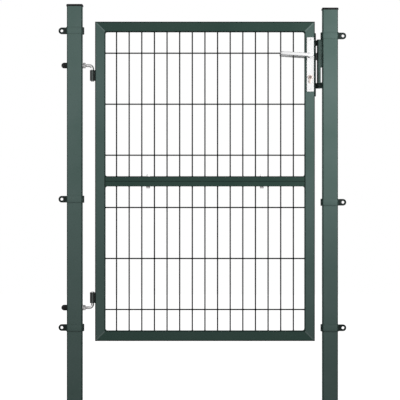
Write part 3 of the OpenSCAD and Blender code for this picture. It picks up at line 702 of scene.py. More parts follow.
for place, pin_up in (("top", -1), ("bottom", 1)):
    low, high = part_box(f"{place}_hinge_hook")
    radius = (high.y - low.y) / 2
    rod_z = high.z - radius if pin_up < 0 else low.z + radius
    pin_x = high.x - radius
    pin_end = low.z if pin_up < 0 else high.z
    nut_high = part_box(f"{place}_hinge_nut")[1].x
    thread_from, thread_to = nut_high - 3 * MM, nut_high + 6 * MM
    shape = Shape()
    turned(shape, (low.x, 0, rod_z), (1, 0, 0), [
        (0, radius - 1 * MM), (1 * MM, radius), (thread_from - low.x, radius)])
    threaded(shape, (thread_from, 0, rod_z), (1, 0, 0), thread_to - thread_from, radius)
    sweep = [(Vector((thread_to, 0, rod_z)), Vector((1, 0, 0)))]
    bend_x = pin_x - HOOK_BEND
    for i in range(13):
        a = math.radians(90 * i / 12)
        sweep.append((
            Vector((bend_x + HOOK_BEND * math.sin(a), 0, rod_z + pin_up * HOOK_BEND * (1 - math.cos(a)))),
            Vector((math.cos(a), 0, pin_up * math.sin(a))),
        ))
    sweep.append((Vector((pin_x, 0, pin_end - pin_up * 1.5 * MM)), Vector((0, 0, pin_up))))
    rings = [circle(p, Vector((0, 1, 0)), d.cross(Vector((0, 1, 0))), radius) for p, d in sweep]
    rings.append(circle(Vector((pin_x, 0, pin_end)), Vector((0, 1, 0)), sweep[-1][1].cross(Vector((0, 1, 0))),
                        radius - 1.2 * MM))
    shape.skin(rings)
    shape.piece(f"{place}_hook_bar", zinc_plate, "root", [f"{place}_hinge_hook"], smooth=40)

# Hinge nuts: a washer and a hexagon nut, zinc plated, that clamp the rod on the inner side of the post.
# The nut's corners are rounded off by the usual chamfer at both ends.
HEX_STEPS = 72


def hexagon_body(shape, base, axis, flats, height, hole, chamfer_ends=(True, True), turn=0):
    """A hexagon nut or head with chamfered corners; a hole radius of 0 leaves it solid."""
    axis = Vector(axis)
    across = axis.orthogonal().normalized()
    up = axis.cross(across)
    corner_angle = math.radians(30)

    def ring(along, limit):
        centre = Vector(base) + axis * along
        points = []
        for i in range(HEX_STEPS):
            a = 2 * math.pi * i / HEX_STEPS
            off = (a + corner_angle) % (2 * corner_angle) - corner_angle
            r = min(flats / 2 / math.cos(off), limit)
            b = a + turn
            points.append(centre + across * (r * math.cos(b)) + up * (r * math.sin(b)))
        return points

    face = flats / 2 * 0.95
    whole = flats / 2 / math.cos(corner_angle)
    steps = 4
    rise = (whole - face) * math.tan(corner_angle)
    start = [ring(rise * i / steps, face + (whole - face) * i / steps) for i in range(steps + 1)]
    end = [ring(height - rise * i / steps, face + (whole - face) * i / steps) for i in range(steps, -1, -1)]
    if not chamfer_ends[0]:
        start = [ring(0, whole)]
    if not chamfer_ends[1]:
        end = [ring(height, whole)]
    if hole:
        lead = 0.8 * MM
        bore = [ring(height, hole + lead), ring(height - lead, hole), ring(lead, hole), ring(0, hole + lead)]
        shape.loop(start + end + bore)
    else:
        shape.skin(start + end)


for place in ("top", "bottom"):
    low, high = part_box(f"{place}_hinge_nut")
    rod_z = (low.z + high.z) / 2
    washer = 2.5 * MM
    hole = 6.15 * MM
    outer = (high.z - low.z) / 2
    shape = Shape()
    turned(shape, (low.x, 0, rod_z), (1, 0, 0), [
        (0, hole), (0, outer - 0.3 * MM), (0.3 * MM, outer), (washer - 0.5 * MM, outer),
        (washer - 0.05 * MM, outer - 0.5 * MM), (washer, outer - 1 * MM), (washer, hole),
    ], steps=40, closed=True)
    hexagon_body(
        shape, (low.x + washer, 0, rod_z), (1, 0, 0), 19 * MM, high.x - low.x - washer, hole,
        turn=math.radians(30))
    shape.piece(f"{place}_nut_and_washer", zinc_plate, "root", [f"{place}_hinge_nut"], smooth=25)

# Dome nuts: moulded black plastic caps on the rod's outer end, with a thin rim against the post.
for place in ("top", "bottom"):
    low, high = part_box(f"{place}_hinge_dome_nut")
    rod_z = (low.z + high.z) / 2
    radius = (high.z - low.z) / 2
    length = high.x - low.x
    wall = radius - 0.7 * MM
    profile = [(0, 6.15 * MM), (0, radius - 0.3 * MM), (0.3 * MM, radius), (1.6 * MM, radius), (2 * MM, wall)]
    straight = length - wall
    for i in range(13):
        a = math.radians(90 * i / 12)
        profile.append((straight + wall * math.sin(a), max(wall * math.cos(a), 0.3 * MM)))
    shape = Shape()
    hollow = [(length / 2, 1 * MM), (length / 2, 6.15 * MM)]
    turned(shape, (high.x, 0, rod_z), (-1, 0, 0), hollow + profile, steps=40)
    shape.piece(f"{place}_dome_cap", black_plastic, "root", [f"{place}_hinge_dome_nut"], smooth=40)

# Strike: 3 mm sheet folded to a channel, with a window for each bolt and two arms that stop the leaf.
# It's welded to a block and a lug, which are bolted to the latch post.
SHEET = 3 * MM
channel_low, channel_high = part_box("strike_channel")
block_low, block_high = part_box("strike_block")
lug_low, lug_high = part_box("strike_lug")
bolt_low, bolt_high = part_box("latch_bolt")
dead_low, dead_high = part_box("deadbolt")
channel_x0, channel_x1 = block_low.x - 13.5 * MM, block_low.x
channel_y = block_high.y
arm_height = lug_high.z - lug_low.z
fold = 5.5 * MM


def side_on(u, v, w):
    return (w, u, v)


def channel_outline():
    """The folded sheet seen from above: a face with a flange on each side."""
    inner_fold = fold - SHEET + 0.3 * MM
    outer = [(channel_x1, -channel_y)]
    outer += arc((channel_x0 + fold, fold - channel_y), fold, 270, 180, 6)
    outer += arc((channel_x0 + fold, channel_y - fold), fold, 180, 90, 6)
    outer += [(channel_x1, channel_y)]
    flange = channel_y - SHEET
    face = channel_x0 + SHEET
    inner = [(channel_x1, flange)]
    inner += arc((face + inner_fold, flange - inner_fold), inner_fold, 90, 180, 3)
    inner += arc((face + inner_fold, inner_fold - flange), inner_fold, 180, 270, 3)
    inner += [(channel_x1, -flange)]
    return outer + inner


def bolt_window(low, high):
    """The outline of a window round a bolt, with round corners."""
    room = 5.5 * MM
    mid_y, mid_z = (low.y + high.y) / 2, (low.z + high.z) / 2
    return [(mid_y + u, mid_z + v) for u, v in rounded(
        high.y - low.y + 2 * room, high.z - low.z + 2 * room, 2 * MM, 4)]


def stop_arm_outline():
    """A stop arm seen from above: from the channel's flange back and round behind the leaf."""
    y0, y1 = channel_high.y - SHEET, channel_high.y
    bend = 4 * MM
    outline = [(channel_x0, channel_y - SHEET), (channel_x0, y0), (channel_low.x, y0), (channel_low.x, y1)]
    outline += arc((channel_x1 - bend, y1 - bend), bend, 90, 0, 6)
    outline += [(channel_x1, channel_y - SHEET)]
    return outline


# The strike's sheet takes a darker copy of the moss green than its block and lug: painted shade.
strike_painted_shade_coat = powder_coat("strike_painted_shade_coat", (0.028, 0.052, 0.045), (0.038, 0.064, 0.057), (0.003, 0.008, 0.007))

channel = tool(sheet, [channel_outline()], upright, channel_low.z, channel_high.z)
arms = [
    tool(sheet, [stop_arm_outline()], upright, z, z + arm_height)
    for z in (channel_low.z, channel_high.z - arm_height)
]
combine(channel, arms, "UNION")
windows = [
    tool(sheet, [bolt_window(low, high)], side_on, channel_x0 - 1 * MM, channel_x0 + SHEET + 1 * MM)
    for low, high in ((bolt_low, bolt_high), (dead_low, dead_high))
]
combine(channel, windows, "DIFFERENCE")
finish_object(
    channel, "strike_sheet", strike_painted_shade_coat, "root", ["strike_channel"], bevel=0.4 * MM)

for node, low, high in (("strike_block", block_low, block_high), ("strike_lug", lug_low, lug_high)):
    shape = Shape()
    outline = [
        ((low.y + high.y) / 2 + u, (low.z + high.z) / 2 + v)
        for u, v in rounded(high.y - low.y, high.z - low.z, 1.5 * MM, 3)]
    sheet(shape, [outline], side_on, low.x, high.x)
    shape.piece(node + "_steel", moss_coat, "root", [node], bevel=0.6 * MM)


def round_head(shape, base, axis, diameter, height, socket=4 * MM):
    """A button head with a hexagon socket sunk into its middle."""
    radius = diameter / 2
    profile = [(0, radius)]
    for i in range(1, 9):
        a = math.radians(90 * i / 8)
        profile.append((height * math.sin(a), socket + (radius - socket) * math.cos(a)))
    profile += [(height, socket * 0.98), (height * 0.35, socket * 0.9)]
    turned(shape, base, axis, profile, steps=36)


shape = Shape()
lug_mid_z = (lug_low.z + lug_high.z) / 2
round_head(shape, (channel_x0 + 9.5 * MM, -channel_y, lug_mid_z), (0, -1, 0), 18 * MM, 5 * MM)
round_head(shape, (channel_x0 + 9.5 * MM, channel_y, lug_mid_z), (0, 1, 0), 18 * MM, 5 * MM)
shape.piece("strike_lug_bolt", dark_coat_and_painted_shade, "root", smooth=40)

# Leaf frame: 40 mm square steel tube, mitred and welded at the four corners, in two halves that meet
# at a pair of 20 mm rails in the middle. The welds are ground nearly flat and coated over.
FRAME_CORNER = 4.5 * MM
SEAM_CORNER = 1.2 * MM
FRAME_WALL = 1.5 * MM
WELD_RADIUS = 7 * MM
MIDDLE_RAIL = 20 * MM
leaf_mid_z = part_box("upper_middle_rail")[0].z
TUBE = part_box("upper_hinge_stile")[1].x - leaf_x0
BEAD_STEPS = 8


def laid_tube(shape, low, high, corners, wall, ends):
    """A tube along X from its box; ends gives the x at which a point of the given height is cut off."""
    height, depth = high.z - low.z, high.y - low.y
    mid_z = (low.z + high.z) / 2
    outer = rounded(height, depth, corners, flat_edge=FLAT_EDGE)
    inner = rounded(
        height - 2 * wall, depth - 2 * wall, tuple(max(r - wall / 2, 0.5 * MM) for r in corners),
        flat_edge=FLAT_EDGE)

    def ring(points, end):
        return [(ends(end, mid_z + u), v, mid_z + u) for u, v in points]

    shape.loop([ring(outer, 0), ring(outer, 1), ring(inner, 1), ring(inner, 0)])


def corner_welds(shape, z, up):
    """Hollow round welds in the two inner corners beside a rail."""
    for side in (-1, 1):
        x = (leaf_x0 + leaf_x1) / 2 + side * ((leaf_x1 - leaf_x0) / 2 - TUBE)
        outline = [(x, z)]
        for i in range(9):
            a = math.radians(90 * i / 8)
            outline.append((
                x - side * WELD_RADIUS * (1 - math.cos(a)),
                z + up * WELD_RADIUS * (1 - math.sin(a)),
            ))
        reach = TUBE / 2 - FRAME_CORNER * 0.6
        shape.skin([[(u, y, w) for u, w in outline] for y in (-reach, reach)])


def weld_bead(shape, start, end, radius, seed, out=(0, 0, 1), rise=1.0):
    """A run of weld: a rounded cord with the ripples of a hand weld; rise flattens it along `out`."""
    rippled = random.Random(seed)
    start, end = Vector(start), Vector(end)
    length = (end - start).length
    axis = (end - start) / length
    up = Vector(out).normalized()
    across = axis.cross(up)
    ripples = max(3, int(length / (2.4 * MM)))
    rings = []
    for k in range(ripples):
        swell = rippled.uniform(0.9, 1.08)
        for part, size in ((0.0, 0.80), (0.35, 1.0), (0.8, 0.92)):
            along = length * (k + part) / ripples
            ends = min(1, (along + 1 * MM) / (3 * MM), (length - along + 1 * MM) / (3 * MM))
            rings.append(circle(
                start + axis * along, across, up * rise, radius * size * swell * ends, BEAD_STEPS))
    shape.skin(rings)


# The leaf's frame and rails take darker copies of the posts' moss green: painted shade, darkest on the rails.
frame_painted_shade_coat = powder_coat("frame_painted_shade_coat", (0.050, 0.090, 0.078), (0.064, 0.104, 0.095), (0.008, 0.018, 0.015))
rail_painted_shade_coat = powder_coat(
    "rail_painted_shade_coat", (0.014, 0.039, 0.030), (0.021, 0.047, 0.037), (0.003, 0.009, 0.008), rough=(0.42, 0.48), shine=0.2)
low_rail_painted_shade_coat = powder_coat(
    "low_rail_painted_shade_coat", (0.022, 0.054, 0.043), (0.030, 0.063, 0.051), (0.004, 0.012, 0.010), rough=(0.42, 0.48),
    shine=0.2)
# The welds' coat is a lighter copy of the moss green: painted highlight on the ground welds.
weld_painted_highlight_coat = powder_coat(
    "weld_painted_highlight_coat", (0.080, 0.120, 0.110), (0.105, 0.150, 0.138), (0.030, 0.050, 0.045), rough=(0.34, 0.4), shine=0.3)


def rail_piece(node, ends, weld_z, up, corners, coat):
    shape = Shape()
    low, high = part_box(node)
    if up > 0:
        high.z = weld_z
    else:
        low.z = weld_z
    laid_tube(shape, low, high, corners, FRAME_WALL, ends)
    corner_welds(shape, weld_z, up)
    shape.piece(node + "_tube", coat, "leaf", [node])


EVEN = (FRAME_CORNER,) * 4
rail_piece(
    "top_rail", lambda end, z: leaf_x0 + (leaf_z1 - z) if end == 0 else leaf_x1 - (leaf_z1 - z),
    leaf_z1 - TUBE, -1, EVEN, rail_painted_shade_coat)
rail_piece(
    "bottom_rail", lambda end, z: leaf_x0 + (z - leaf_z0) if end == 0 else leaf_x1 - (z - leaf_z0),
    leaf_z0 + TUBE, 1, EVEN, low_rail_painted_shade_coat)
for node, up in (("upper_middle_rail", 1), ("lower_middle_rail", -1)):
    seam_below = (FRAME_CORNER, SEAM_CORNER, SEAM_CORNER, FRAME_CORNER)
    rail_piece(
        node, lambda end, z: leaf_x0 + TUBE if end == 0 else leaf_x1 - TUBE, leaf_mid_z + up * MIDDLE_RAIL, up,
        seam_below if up > 0 else tuple(reversed(seam_below[1:] + seam_below[:1])), rail_painted_shade_coat)

shape = Shape()
for side in (-1, 1):
    for far, inward in ((leaf_z1, -1), (leaf_z0, 1)):
        for front in (-1, 1):
            y = front * (TUBE / 2 - 0.05 * MM)
            edge = leaf_x0 if side < 0 else leaf_x1
            outer_end = (edge - side * FRAME_CORNER, y, far + inward * FRAME_CORNER)
            inner_end = (edge - side * (TUBE - 1 * MM), y, far + inward * (TUBE - 1 * MM))
            weld_bead(shape, outer_end, inner_end, 3 * MM, 40 + side + front, (0, front, 0), rise=0.12)
shape.piece("mitre_welds", weld_painted_highlight_coat, "leaf", smooth=60)


def stile_tube(shape, edge, side, far, inward):
    """An upright tube from the seam in the middle to its mitre."""
    outer = rounded(TUBE, TUBE, FRAME_CORNER, flat_edge=FLAT_EDGE)
    inner = rounded(
        TUBE - 2 * FRAME_WALL, TUBE - 2 * FRAME_WALL, FRAME_CORNER - FRAME_WALL / 2, flat_edge=FLAT_EDGE)
    centre_x = edge - side * TUBE / 2

    def ring(points, end):
        return [(
            centre_x + x, y, leaf_mid_z if end == 0 else far + inward * abs(centre_x + x - edge),
        ) for x, y in points]

    shape.loop([ring(outer, 0), ring(outer, 1), ring(inner, 1), ring(inner, 0)])


def lock_openings():
    """What is cut from the stile for the lock: a slot for the case, and holes for collars and cylinder."""
    play = 0.3 * MM
    case_low, case_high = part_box("lock_case")
    spindle_low, spindle_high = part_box("lever_spindle")
    cylinder_low, cylinder_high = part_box("key_cylinder")
    slot = [((case_low.y + case_high.y) / 2 + u, (case_low.z + case_high.z) / 2 + v) for u, v in rounded(
        case_high.y - case_low.y + 2 * play, case_high.z - case_low.z + 2 * play, 1 * MM, 3)]
    collar = arc(
        ((spindle_low.x + spindle_high.x) / 2, (spindle_low.z + spindle_high.z) / 2), 10.6 * MM, 0, 350, 35)
    key = [((cylinder_low.x + cylinder_high.x) / 2 + u, (cylinder_low.z + cylinder_high.z) / 2 + v)
           for u, v in rounded(
               cylinder_high.x - cylinder_low.x + 2 * play, cylinder_high.z - cylinder_low.z + 2 * play,
               (cylinder_high.x - cylinder_low.x) / 2, 8)]
    return [
        tool(sheet, [slot], side_on, leaf_x1 - 4 * MM, leaf_x1 + 1 * MM),
        tool(sheet, [collar], facing, -TUBE, TUBE),
        tool(sheet, [key], facing, -TUBE, TUBE),
    ]


for side, name in ((-1, "hinge"), (1, "latch")):
    for half in ("upper", "lower"):
        node = f"{half}_{name}_stile"
        edge = leaf_x0 if side < 0 else leaf_x1
        far, inward = (leaf_z1, -1) if half == "upper" else (leaf_z0, 1)
        stile = tool(stile_tube, edge, side, far, inward)
        if node == "upper_latch_stile":
            combine(stile, lock_openings(), "DIFFERENCE")
        finish_object(stile, node + "_tube", frame_painted_shade_coat, "leaf", [node])

# Wire mesh: 5 mm wires, spot-welded where they cross and fused to the frame at their ends, then powder
# coated. The upright wires lie in front of the crosswise ones.
WIRE = 5.2 * MM
UPRIGHT_PITCH = 49.5 * MM
CROSSWISE_PITCH = 200 * MM
WIRE_OFFSET = 2.2 * MM
wire_coat = powder_coat("wire_coat", (0.005, 0.009, 0.008), (0.008, 0.012, 0.011), (0.003, 0.005, 0.005), shine=0.03)
inner_x0, inner_x1 = leaf_x0 + TUBE, leaf_x1 - TUBE
mid_x = (leaf_x0 + leaf_x1) / 2


def wire(shape, start, end, flare):
    """A straight wire whose weld at each end widens to the given radius."""
    start, end = Vector(start), Vector(end)
    length = (end - start).length
    axis = (end - start) / length
    across = axis.orthogonal().normalized()
    up = axis.cross(across)
    near = [(0, flare), (0.8 * MM, flare * 0.82), (1.8 * MM, WIRE / 2 * 1.12), (3.5 * MM, WIRE / 2)]
    profile = near + [(length - along, r) for along, r in reversed(near)]
    shape.skin([circle(start + axis * along, across, up, r, 12) for along, r in profile])


def weld_drop(shape, place, size, stretch):
    """A small lump of weld, stretched along each axis."""
    made = bmesh.ops.create_icosphere(shape.bm, subdivisions=2, radius=1)
    for v in made["verts"]:
        v.co = Vector(place) + Vector((v.co.x * stretch[0], v.co.y * stretch[1], v.co.z * stretch[2])) * size


chance = random.Random(7)
for node in ("upper_mesh", "lower_mesh"):
    low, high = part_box(node)
    crosswise = [(low.z + high.z) / 2 + k * CROSSWISE_PITCH for k in (-1, 0, 1)]
    uprights = [mid_x + k * UPRIGHT_PITCH for k in range(-7, 8)]
    shape = Shape()
    for x in uprights:
        wire(shape, (x, -WIRE_OFFSET, low.z), (x, -WIRE_OFFSET, high.z), chance.uniform(3.4, 4.3) * MM)
    for z in crosswise:
        wire(shape, (inner_x0, WIRE_OFFSET, z), (inner_x1, WIRE_OFFSET, z), chance.uniform(3.4, 4.3) * MM)
        for x in uprights:
            place = (x + chance.uniform(-0.3, 0.3) * MM, 0, z + chance.uniform(-0.3, 0.3) * MM)
            weld_drop(shape, place, chance.uniform(0.9, 1.15) * MM, (3.3, 2.0, 3.3))
    shape.piece(node + "_wires", wire_coat, "leaf", [node], smooth=60)

# Hinge sleeves: short lengths of steel tube with ground ends, welded to the stile by a bead on each side.
# The coat is thicker and glossier here than on the flat tubes, and its colour is darker than the frame's: painted
# shade.
# The near-black colour is painted shade on the sleeves.
sleeve_painted_shade_coat = powder_coat(
    "sleeve_painted_shade_coat", (0.006, 0.018, 0.015), (0.010, 0.024, 0.020), (0.001, 0.003, 0.003), rough=(0.24, 0.28), shine=0.8)
for place in ("top", "bottom"):
    low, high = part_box(f"{place}_hinge_sleeve")
    radius = (high.y - low.y) / 2
    centre_x = low.x + radius
    bore = 6.08 * MM
    edge = 0.8 * MM
    height = high.z - low.z
    shape = Shape()
    turned(shape, (centre_x, 0, low.z), (0, 0, 1), [
        (0, bore + edge / 2), (0, radius - edge), (edge, radius), (height - edge, radius),
        (height, radius - edge), (height, bore + edge / 2), (height - edge / 2, bore), (edge / 2, bore),
    ], steps=40, closed=True)
    for side in (-1, 1):
        y = side * 6 * MM
        weld_bead(
            shape, (leaf_x0 - 1.2 * MM, y, low.z + 1.5 * MM), (leaf_x0 - 1.2 * MM, y, high.z - 1.5 * MM),
            2.2 * MM, 11 + side, (0, 1, 0))
    shape.piece(f"{place}_sleeve_tube", sleeve_painted_shade_coat, "leaf", [f"{place}_hinge_sleeve"], smooth=40)

# Frame bolts: two M8 hexagon bolts, zinc plated, that hold the two middle rails together.
for side in ("left", "right"):
    low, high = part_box(f"{side}_frame_bolt")
    x = (low.x + high.x) / 2
    washer, head, washer_radius = 1.6 * MM, 6 * MM, 8 * MM
    shape = Shape()
    turned(shape, (x, 0, low.z + 1 * MM), (0, 0, 1), [(0, 4 * MM), (high.z - low.z - 2 * MM, 4 * MM)])
    for end, up in ((leaf_mid_z + MIDDLE_RAIL, 1), (leaf_mid_z - MIDDLE_RAIL, -1)):
        turned(shape, (x, 0, end), (0, 0, up), [
            (0, washer_radius), (washer - 0.4 * MM, washer_radius), (washer, washer_radius - 0.4 * MM)], steps=32)
        hexagon_body(
            shape, (x, 0, end + up * washer), (0, 0, up), 13 * MM, head, 0 if up > 0 else 4.1 * MM,
            (up < 0, True), math.radians(10 if up > 0 else 22))
    shape.piece(f"{side}_bolt_and_nut", zinc_plate, "leaf", [f"{side}_frame_bolt"], smooth=25)

# Lock case and faceplate: a mortice lock pushed into the stile, closed by a stainless plate on the leaf's
# edge. The plate has a window for each bolt and two countersunk screws.
brushed_steel = plated("brushed_steel", (0.50, 0.51, 0.52), 0.26, 0.3, (1, 1, 0.04))
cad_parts["lock_case"].data.materials.clear()
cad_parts["lock_case"].data.materials.append(brushed_steel)


def countersunk_screw(shape, base, axis, diameter, sink):
    """A flat screw head with a cross recess, sunk a little below the face around it."""
    axis = Vector(axis)
    across = axis.orthogonal().normalized()
    up = axis.cross(across)
    radius = diameter / 2
    top = -sink
    arm, slot = radius * 0.55, radius * 0.16
    cross = []
    for quarter in range(4):
        a = math.radians(90 * quarter)
        for u, v in ((slot, slot), (arm, slot), (arm, -slot)):
            cross.append((u * math.cos(a) - v * math.sin(a), u * math.sin(a) + v * math.cos(a)))
    cross = sorted(cross, key=lambda p: math.atan2(p[1], p[0]))

    def place(u, v, w):
        return Vector(base) + across * u + up * v + axis * w

    disc = arc((0, 0), radius, 0, 360 - 15, 23)
    sheet(shape, [disc, cross], place, top - 1 * MM, top)
    sheet(shape, [[(u * 1.02, v * 1.02) for u, v in cross]], place, top - 1.1 * MM, top - 0.9 * MM)


def screw_hole(centre, diameter):
    return arc(centre, diameter / 2, 0, 360 - 15, 23)


low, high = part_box("lock_faceplate")
face_mid_z = (low.z + high.z) / 2
SCREW = 8.5 * MM
screw_places = [face_mid_z + s * ((high.z - low.z) / 2 - 12 * MM) for s in (-1, 1)]
outline = [(u, face_mid_z + v) for u, v in rounded(high.y - low.y, high.z - low.z, 3 * MM)]
play = 0.3 * MM
windows = [
    [((a.y + b.y) / 2 + u, (a.z + b.z) / 2 + v) for u, v in rounded(
        b.y - a.y + 2 * play, b.z - a.z + 2 * play, 0.4 * MM, 2)]
    for a, b in ((bolt_low, bolt_high), (dead_low, dead_high))
]
shape = Shape()
sheet(shape, [outline] + windows + [screw_hole((0, z), SCREW) for z in screw_places], side_on, low.x, high.x)
# The stainless plate is coloured near-black: painted shade on its edge.
faceplate_painted_shade_coat = powder_coat(
    "faceplate_painted_shade_coat", (0.0025, 0.005, 0.0045), (0.004, 0.007, 0.0065), (0.001, 0.002, 0.002), shine=0.08)
shape.piece("faceplate_strip", faceplate_painted_shade_coat, "leaf", ["lock_faceplate"], bevel=0.5 * MM)
shape = Shape()
for z in screw_places:
    countersunk_screw(shape, (high.x, 0, z), (1, 0, 0), SCREW - 0.1 * MM, 0.3 * MM)
    turned(shape, (low.x + 0.1 * MM, 0, z), (1, 0, 0), [(0, SCREW / 2 - 0.05 * MM), (2.9 * MM, SCREW / 2 - 0.05 * MM)])
shape.piece("faceplate_screws", zinc_plate, "leaf")

# Bolts: nickel-plated die castings. The latch bolt is bevelled on its back and slides in and out; the
# deadbolt stands level with the faceplate while it's withdrawn.
nickel = plated("nickel", (0.11, 0.115, 0.115), 0.34, 0.22, (0.05, 1, 1))
half_t = (bolt_high.y - bolt_low.y) / 2
LATCH_BEVEL = 9 * MM
bolt_mid_z = (bolt_low.z + bolt_high.z) / 2
latch = tool(sheet, [[
    (bolt_low.x, -half_t), (bolt_high.x, -half_t), (bolt_high.x, half_t - LATCH_BEVEL),
    (bolt_high.x - LATCH_BEVEL, half_t), (bolt_low.x, half_t),
]], upright, bolt_low.z, bolt_high.z)
lever_low, lever_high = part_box("front_lever")
spindle_low, spindle_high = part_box("lever_spindle")
lever_x = (spindle_low.x + spindle_high.x) / 2
lever_z = (spindle_low.z + spindle_high.z) / 2
fork_end, fork = 940.257 * MM, 5.957 * MM
slit = tool(sheet, [[
    (bolt_low.x - 1 * MM, lever_z - fork), (fork_end, lever_z - fork),
    (fork_end, lever_z + fork), (bolt_low.x - 1 * MM, lever_z + fork),
]], facing, -half_t - 1 * MM, half_t + 1 * MM)
combine(latch, [slit], "DIFFERENCE")
finish_object(latch, "latch_casting", nickel, "latch", ["latch_bolt"], bevel=0.7 * MM)

shape = Shape()
outline = [((dead_low.y + dead_high.y) / 2 + u, (dead_low.z + dead_high.z) / 2 + v) for u, v in rounded(
    dead_high.y - dead_low.y, dead_high.z - dead_low.z, 0.6 * MM, 2)]
sheet(shape, [outline], side_on, dead_low.x, dead_high.x)
shape.piece("deadbolt_casting", nickel, "leaf", ["deadbolt"], bevel=0.5 * MM)
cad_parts["lever_spindle"].data.materials.clear()
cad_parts["lever_spindle"].data.materials.append(nickel)

# Key cylinder: brass with worn nickel plate, a round part above a narrow one. The plug inside the round
# part turns with the key, and the keyway is broached through it.
key_low, key_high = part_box("key_cylinder")
KEY_ROUND = (key_high.x - key_low.x) / 2
KEY_NARROW = 5 * MM
key_x = (key_low.x + key_high.x) / 2
key_z = key_high.z - KEY_ROUND
PLUG = 6.4 * MM


def key_outline(grow):
    """The cylinder's outline about the middle of its round part."""
    big, small = KEY_ROUND + grow, KEY_NARROW + grow
    foot = KEY_ROUND + key_low.z - key_high.z + KEY_NARROW
    notch = math.degrees(math.acos(small / big))
    return arc((0, 0), big, -notch, 180 + notch, 36) + arc((0, foot), small, 180, 360, 16)


def keyway():
    """The crooked slot that the key goes into."""
    mm = [(-0.5, 4.6), (0.9, 4.6), (0.9, 2.4), (1.7, 2.4), (1.7, 0.9), (0.6, 0.9), (0.6, -1.0), (-0.2, -1.0),
          (-0.2, -4.4), (-1.4, -4.4), (-1.4, -0.2), (-1.9, -0.2), (-1.9, 1.2), (-0.5, 1.2)]
    return [(u * MM, v * MM) for u, v in mm]


def worn_plate(name, pale, deep, corner):
    """Thin nickel plate rubbed by hands and keys, so that the brass below warms it at the corners."""
    material, tree, shader = start_material(name, Metallic=1.0)
    tone = use_group(tree, patchy, Cloud_Size=90.0, Speck_Size=500.0)
    mask = use_group(tree, corner_mask)
    plate_colour = blend_colour(tree, tone.outputs["Cloud"], pale, deep)
    worn = blend_colour(tree, mask.outputs["Mask"], plate_colour, corner)
    tree.links.new(worn, shader.inputs["Base Color"])
    tree.links.new(spread_value(tree, tone.outputs["Cloud"], 0.42, 0.55), shader.inputs["Roughness"])
    scratch = shader_node(tree, "ShaderNodeTexNoise", Scale=700.0, Detail=3.0)
    tree.links.new(stretched_place(tree, (1, 1, 0.08)), scratch.inputs["Vector"])
    bump_from(tree, shader, scratch.outputs["Fac"], 0.15, 0.2 * MM)
    return material


worn_brass = worn_plate("worn_brass", (0.58, 0.50, 0.47), (0.50, 0.44, 0.42), (0.46, 0.36, 0.30))
# The plugs are darker than the body: painted shade in the keyway.
plug_brass_painted_shade = worn_plate("plug_brass_painted_shade", (0.22, 0.18, 0.17), (0.17, 0.14, 0.135), (0.26, 0.20, 0.16))


def about_key(u, v, w):
    return (key_x + u, w, key_z + v)


def disc(radius, steps=32):
    return arc((0, 0), radius, 0, 360 - 360 / steps, steps - 1)


shape = Shape()
sheet(shape, [key_outline(0), disc(PLUG)], about_key, key_low.y, key_high.y)
shape.piece("key_cylinder_body", worn_brass, "leaf", ["key_cylinder"], bevel=0.4 * MM)
shape = Shape()
for face in (-1, 1):
    end = face * (key_high.y - 0.3 * MM)
    sheet(shape, [disc(PLUG - 0.08 * MM), keyway()], about_key, end, end - face * 6 * MM)
    sheet(shape, [disc(PLUG - 0.08 * MM)], about_key, end - face * 6 * MM, end - face * 7 * MM)
shape.piece("key_plugs", plug_brass_painted_shade, "leaf", bevel=0.2 * MM)

# Long plates: cast aluminium, satin anodised, on both faces of the stile. Two screws go through from one
# to the other, and a round hole takes the lever's collar.
aluminium, tree, shader = start_material("aluminium", Metallic=0.0, Specular_IOR_Level=0.15)
tone = use_group(tree, patchy, Cloud_Size=30.0)
mask = use_group(tree, corner_mask)
pale = blend_colour(tree, tone.outputs["Cloud"], (0.72, 0.72, 0.72), (0.77, 0.77, 0.77))
# A little darker on the round corners: painted shade.
with_painted_corner_shade = blend_colour(tree, mask.outputs["Mask"], pale, (0.70, 0.70, 0.71))
tree.links.new(with_painted_corner_shade, shader.inputs["Base Color"])
tree.links.new(spread_value(tree, tone.outputs["Cloud"], 0.5, 0.6), shader.inputs["Roughness"])
grain = use_group(tree, coat_grain, Peel=0.7, Waves=0.1)
bump_from(tree, shader, grain.outputs["Height"], 0.1, 0.2 * MM)

for side, node in ((-1, "front_lock_plate"), (1, "back_lock_plate")):
    low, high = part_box(node)
    mid = ((low.x + high.x) / 2, (low.z + high.z) / 2)
    back, face = (high.y, low.y) if side < 0 else (low.y, high.y)
    outline = [(mid[0] + u, mid[1] + v) for u, v in rounded(high.x - low.x, high.z - low.z, 3 * MM)]
    lever_hole = arc((lever_x, lever_z), 10.3 * MM, 0, 350, 35)
    key_hole = [(key_x + u, key_z + v) for u, v in key_outline(0.15 * MM)]
    screws = [(mid[0], high.z - 8 * MM), (mid[0], low.z + 8 * MM)]
    shape = Shape()
    sheet(shape, [outline, lever_hole, key_hole] + [screw_hole(p, 7.5 * MM) for p in screws], facing, back, face)
    shape.piece(node + "_casting", aluminium, "leaf", [node], bevel=0.9 * MM, bevel_steps=3)
    shape = Shape()
    for x, z in screws:
        countersunk_screw(shape, (x, face, z), (0, side, 0), 7.4 * MM, 0.3 * MM)
        turned(shape, (x, back + side * 0.1 * MM, z), (0, side, 0), [(0, 3.7 * MM), (2.9 * MM, 3.7 * MM)])
    shape.piece(node + "_screws", zinc_plate, "leaf")

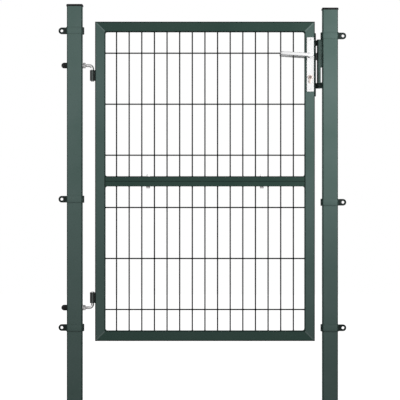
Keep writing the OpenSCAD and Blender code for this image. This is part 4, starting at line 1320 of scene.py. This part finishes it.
# Levers: cast aluminium like the plates, pushed on the two ends of the square spindle. Each has a collar,
# a neck that stands out from the plate and a bend to a grip that runs back over the leaf.
LEVER_RISE = math.radians(3.7)
LEVER_BEND = 18 * MM
GRIP = (17 * MM, 13 * MM)
GRIP_ROUND = 0.36
GRIP_OUT = 42 * MM
REACH = 118 * MM
COLLAR = 10 * MM
plate_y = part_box("back_lock_plate")[1].y
collar_in = 9 * MM
collar_out = plate_y + 7 * MM


def grip_ring(centre, out, size=1.0, thick=1.0):
    """The grip's section: a flattened round, wide along `out` and high along Z."""
    width, height = GRIP[0] * thick, GRIP[1] * size
    up = Vector((0, 0, 1))
    return [centre + out * u + up * v for u, v in rounded(width, height, height * GRIP_ROUND, 6)]


def lever_shape(shape):
    """The front lever about its axis, before it's tilted."""
    turned(shape, (0, -collar_in, 0), (0, -1, 0), [
        (0, COLLAR), (collar_out - collar_in - 1.5 * MM, COLLAR),
        (collar_out - collar_in - 0.5 * MM, COLLAR - 0.5 * MM), (collar_out - collar_in, COLLAR - 1.5 * MM),
    ], steps=40)
    grip_y = -plate_y - GRIP_OUT
    rings = [grip_ring(Vector((0, -plate_y - 1 * MM, 0)), Vector((1, 0, 0)))]
    for i in range(13):
        a = math.radians(90 * i / 12)
        centre = Vector((-LEVER_BEND * (1 - math.cos(a)), grip_y + LEVER_BEND * (1 - math.sin(a)), 0))
        rings.append(grip_ring(centre, Vector((math.cos(a), math.sin(a), 0))))
    tip = -REACH + GRIP[0] / 2
    for i in range(11):
        a = math.radians(90 * i / 10)
        shrink = max(math.cos(a), 0.04)
        centre = Vector((tip - GRIP[0] / 2 * math.sin(a), grip_y, 0))
        height = 1 if GRIP[0] * shrink > GRIP[1] else GRIP[0] * shrink / GRIP[1]
        rings.append([
            centre + Vector((0, u, v)) for u, v in rounded(
                max(GRIP[0] * shrink, GRIP[1] * height), GRIP[1] * height, GRIP[1] * height * GRIP_ROUND, 6)
        ])
    shape.skin(rings)


for side, node in ((-1, "front_lever"), (1, "back_lever")):
    shape = Shape()
    lever_shape(shape)
    bmesh.ops.transform(shape.bm, verts=shape.bm.verts, matrix=(
        Matrix.Diagonal((1, -side, 1, 1)) @ Matrix.Translation((lever_x, 0, lever_z))
        @ Matrix.Rotation(LEVER_RISE, 4, "Y")))
    shape.piece(node + "_casting", aluminium, "lever", [node], smooth=40)
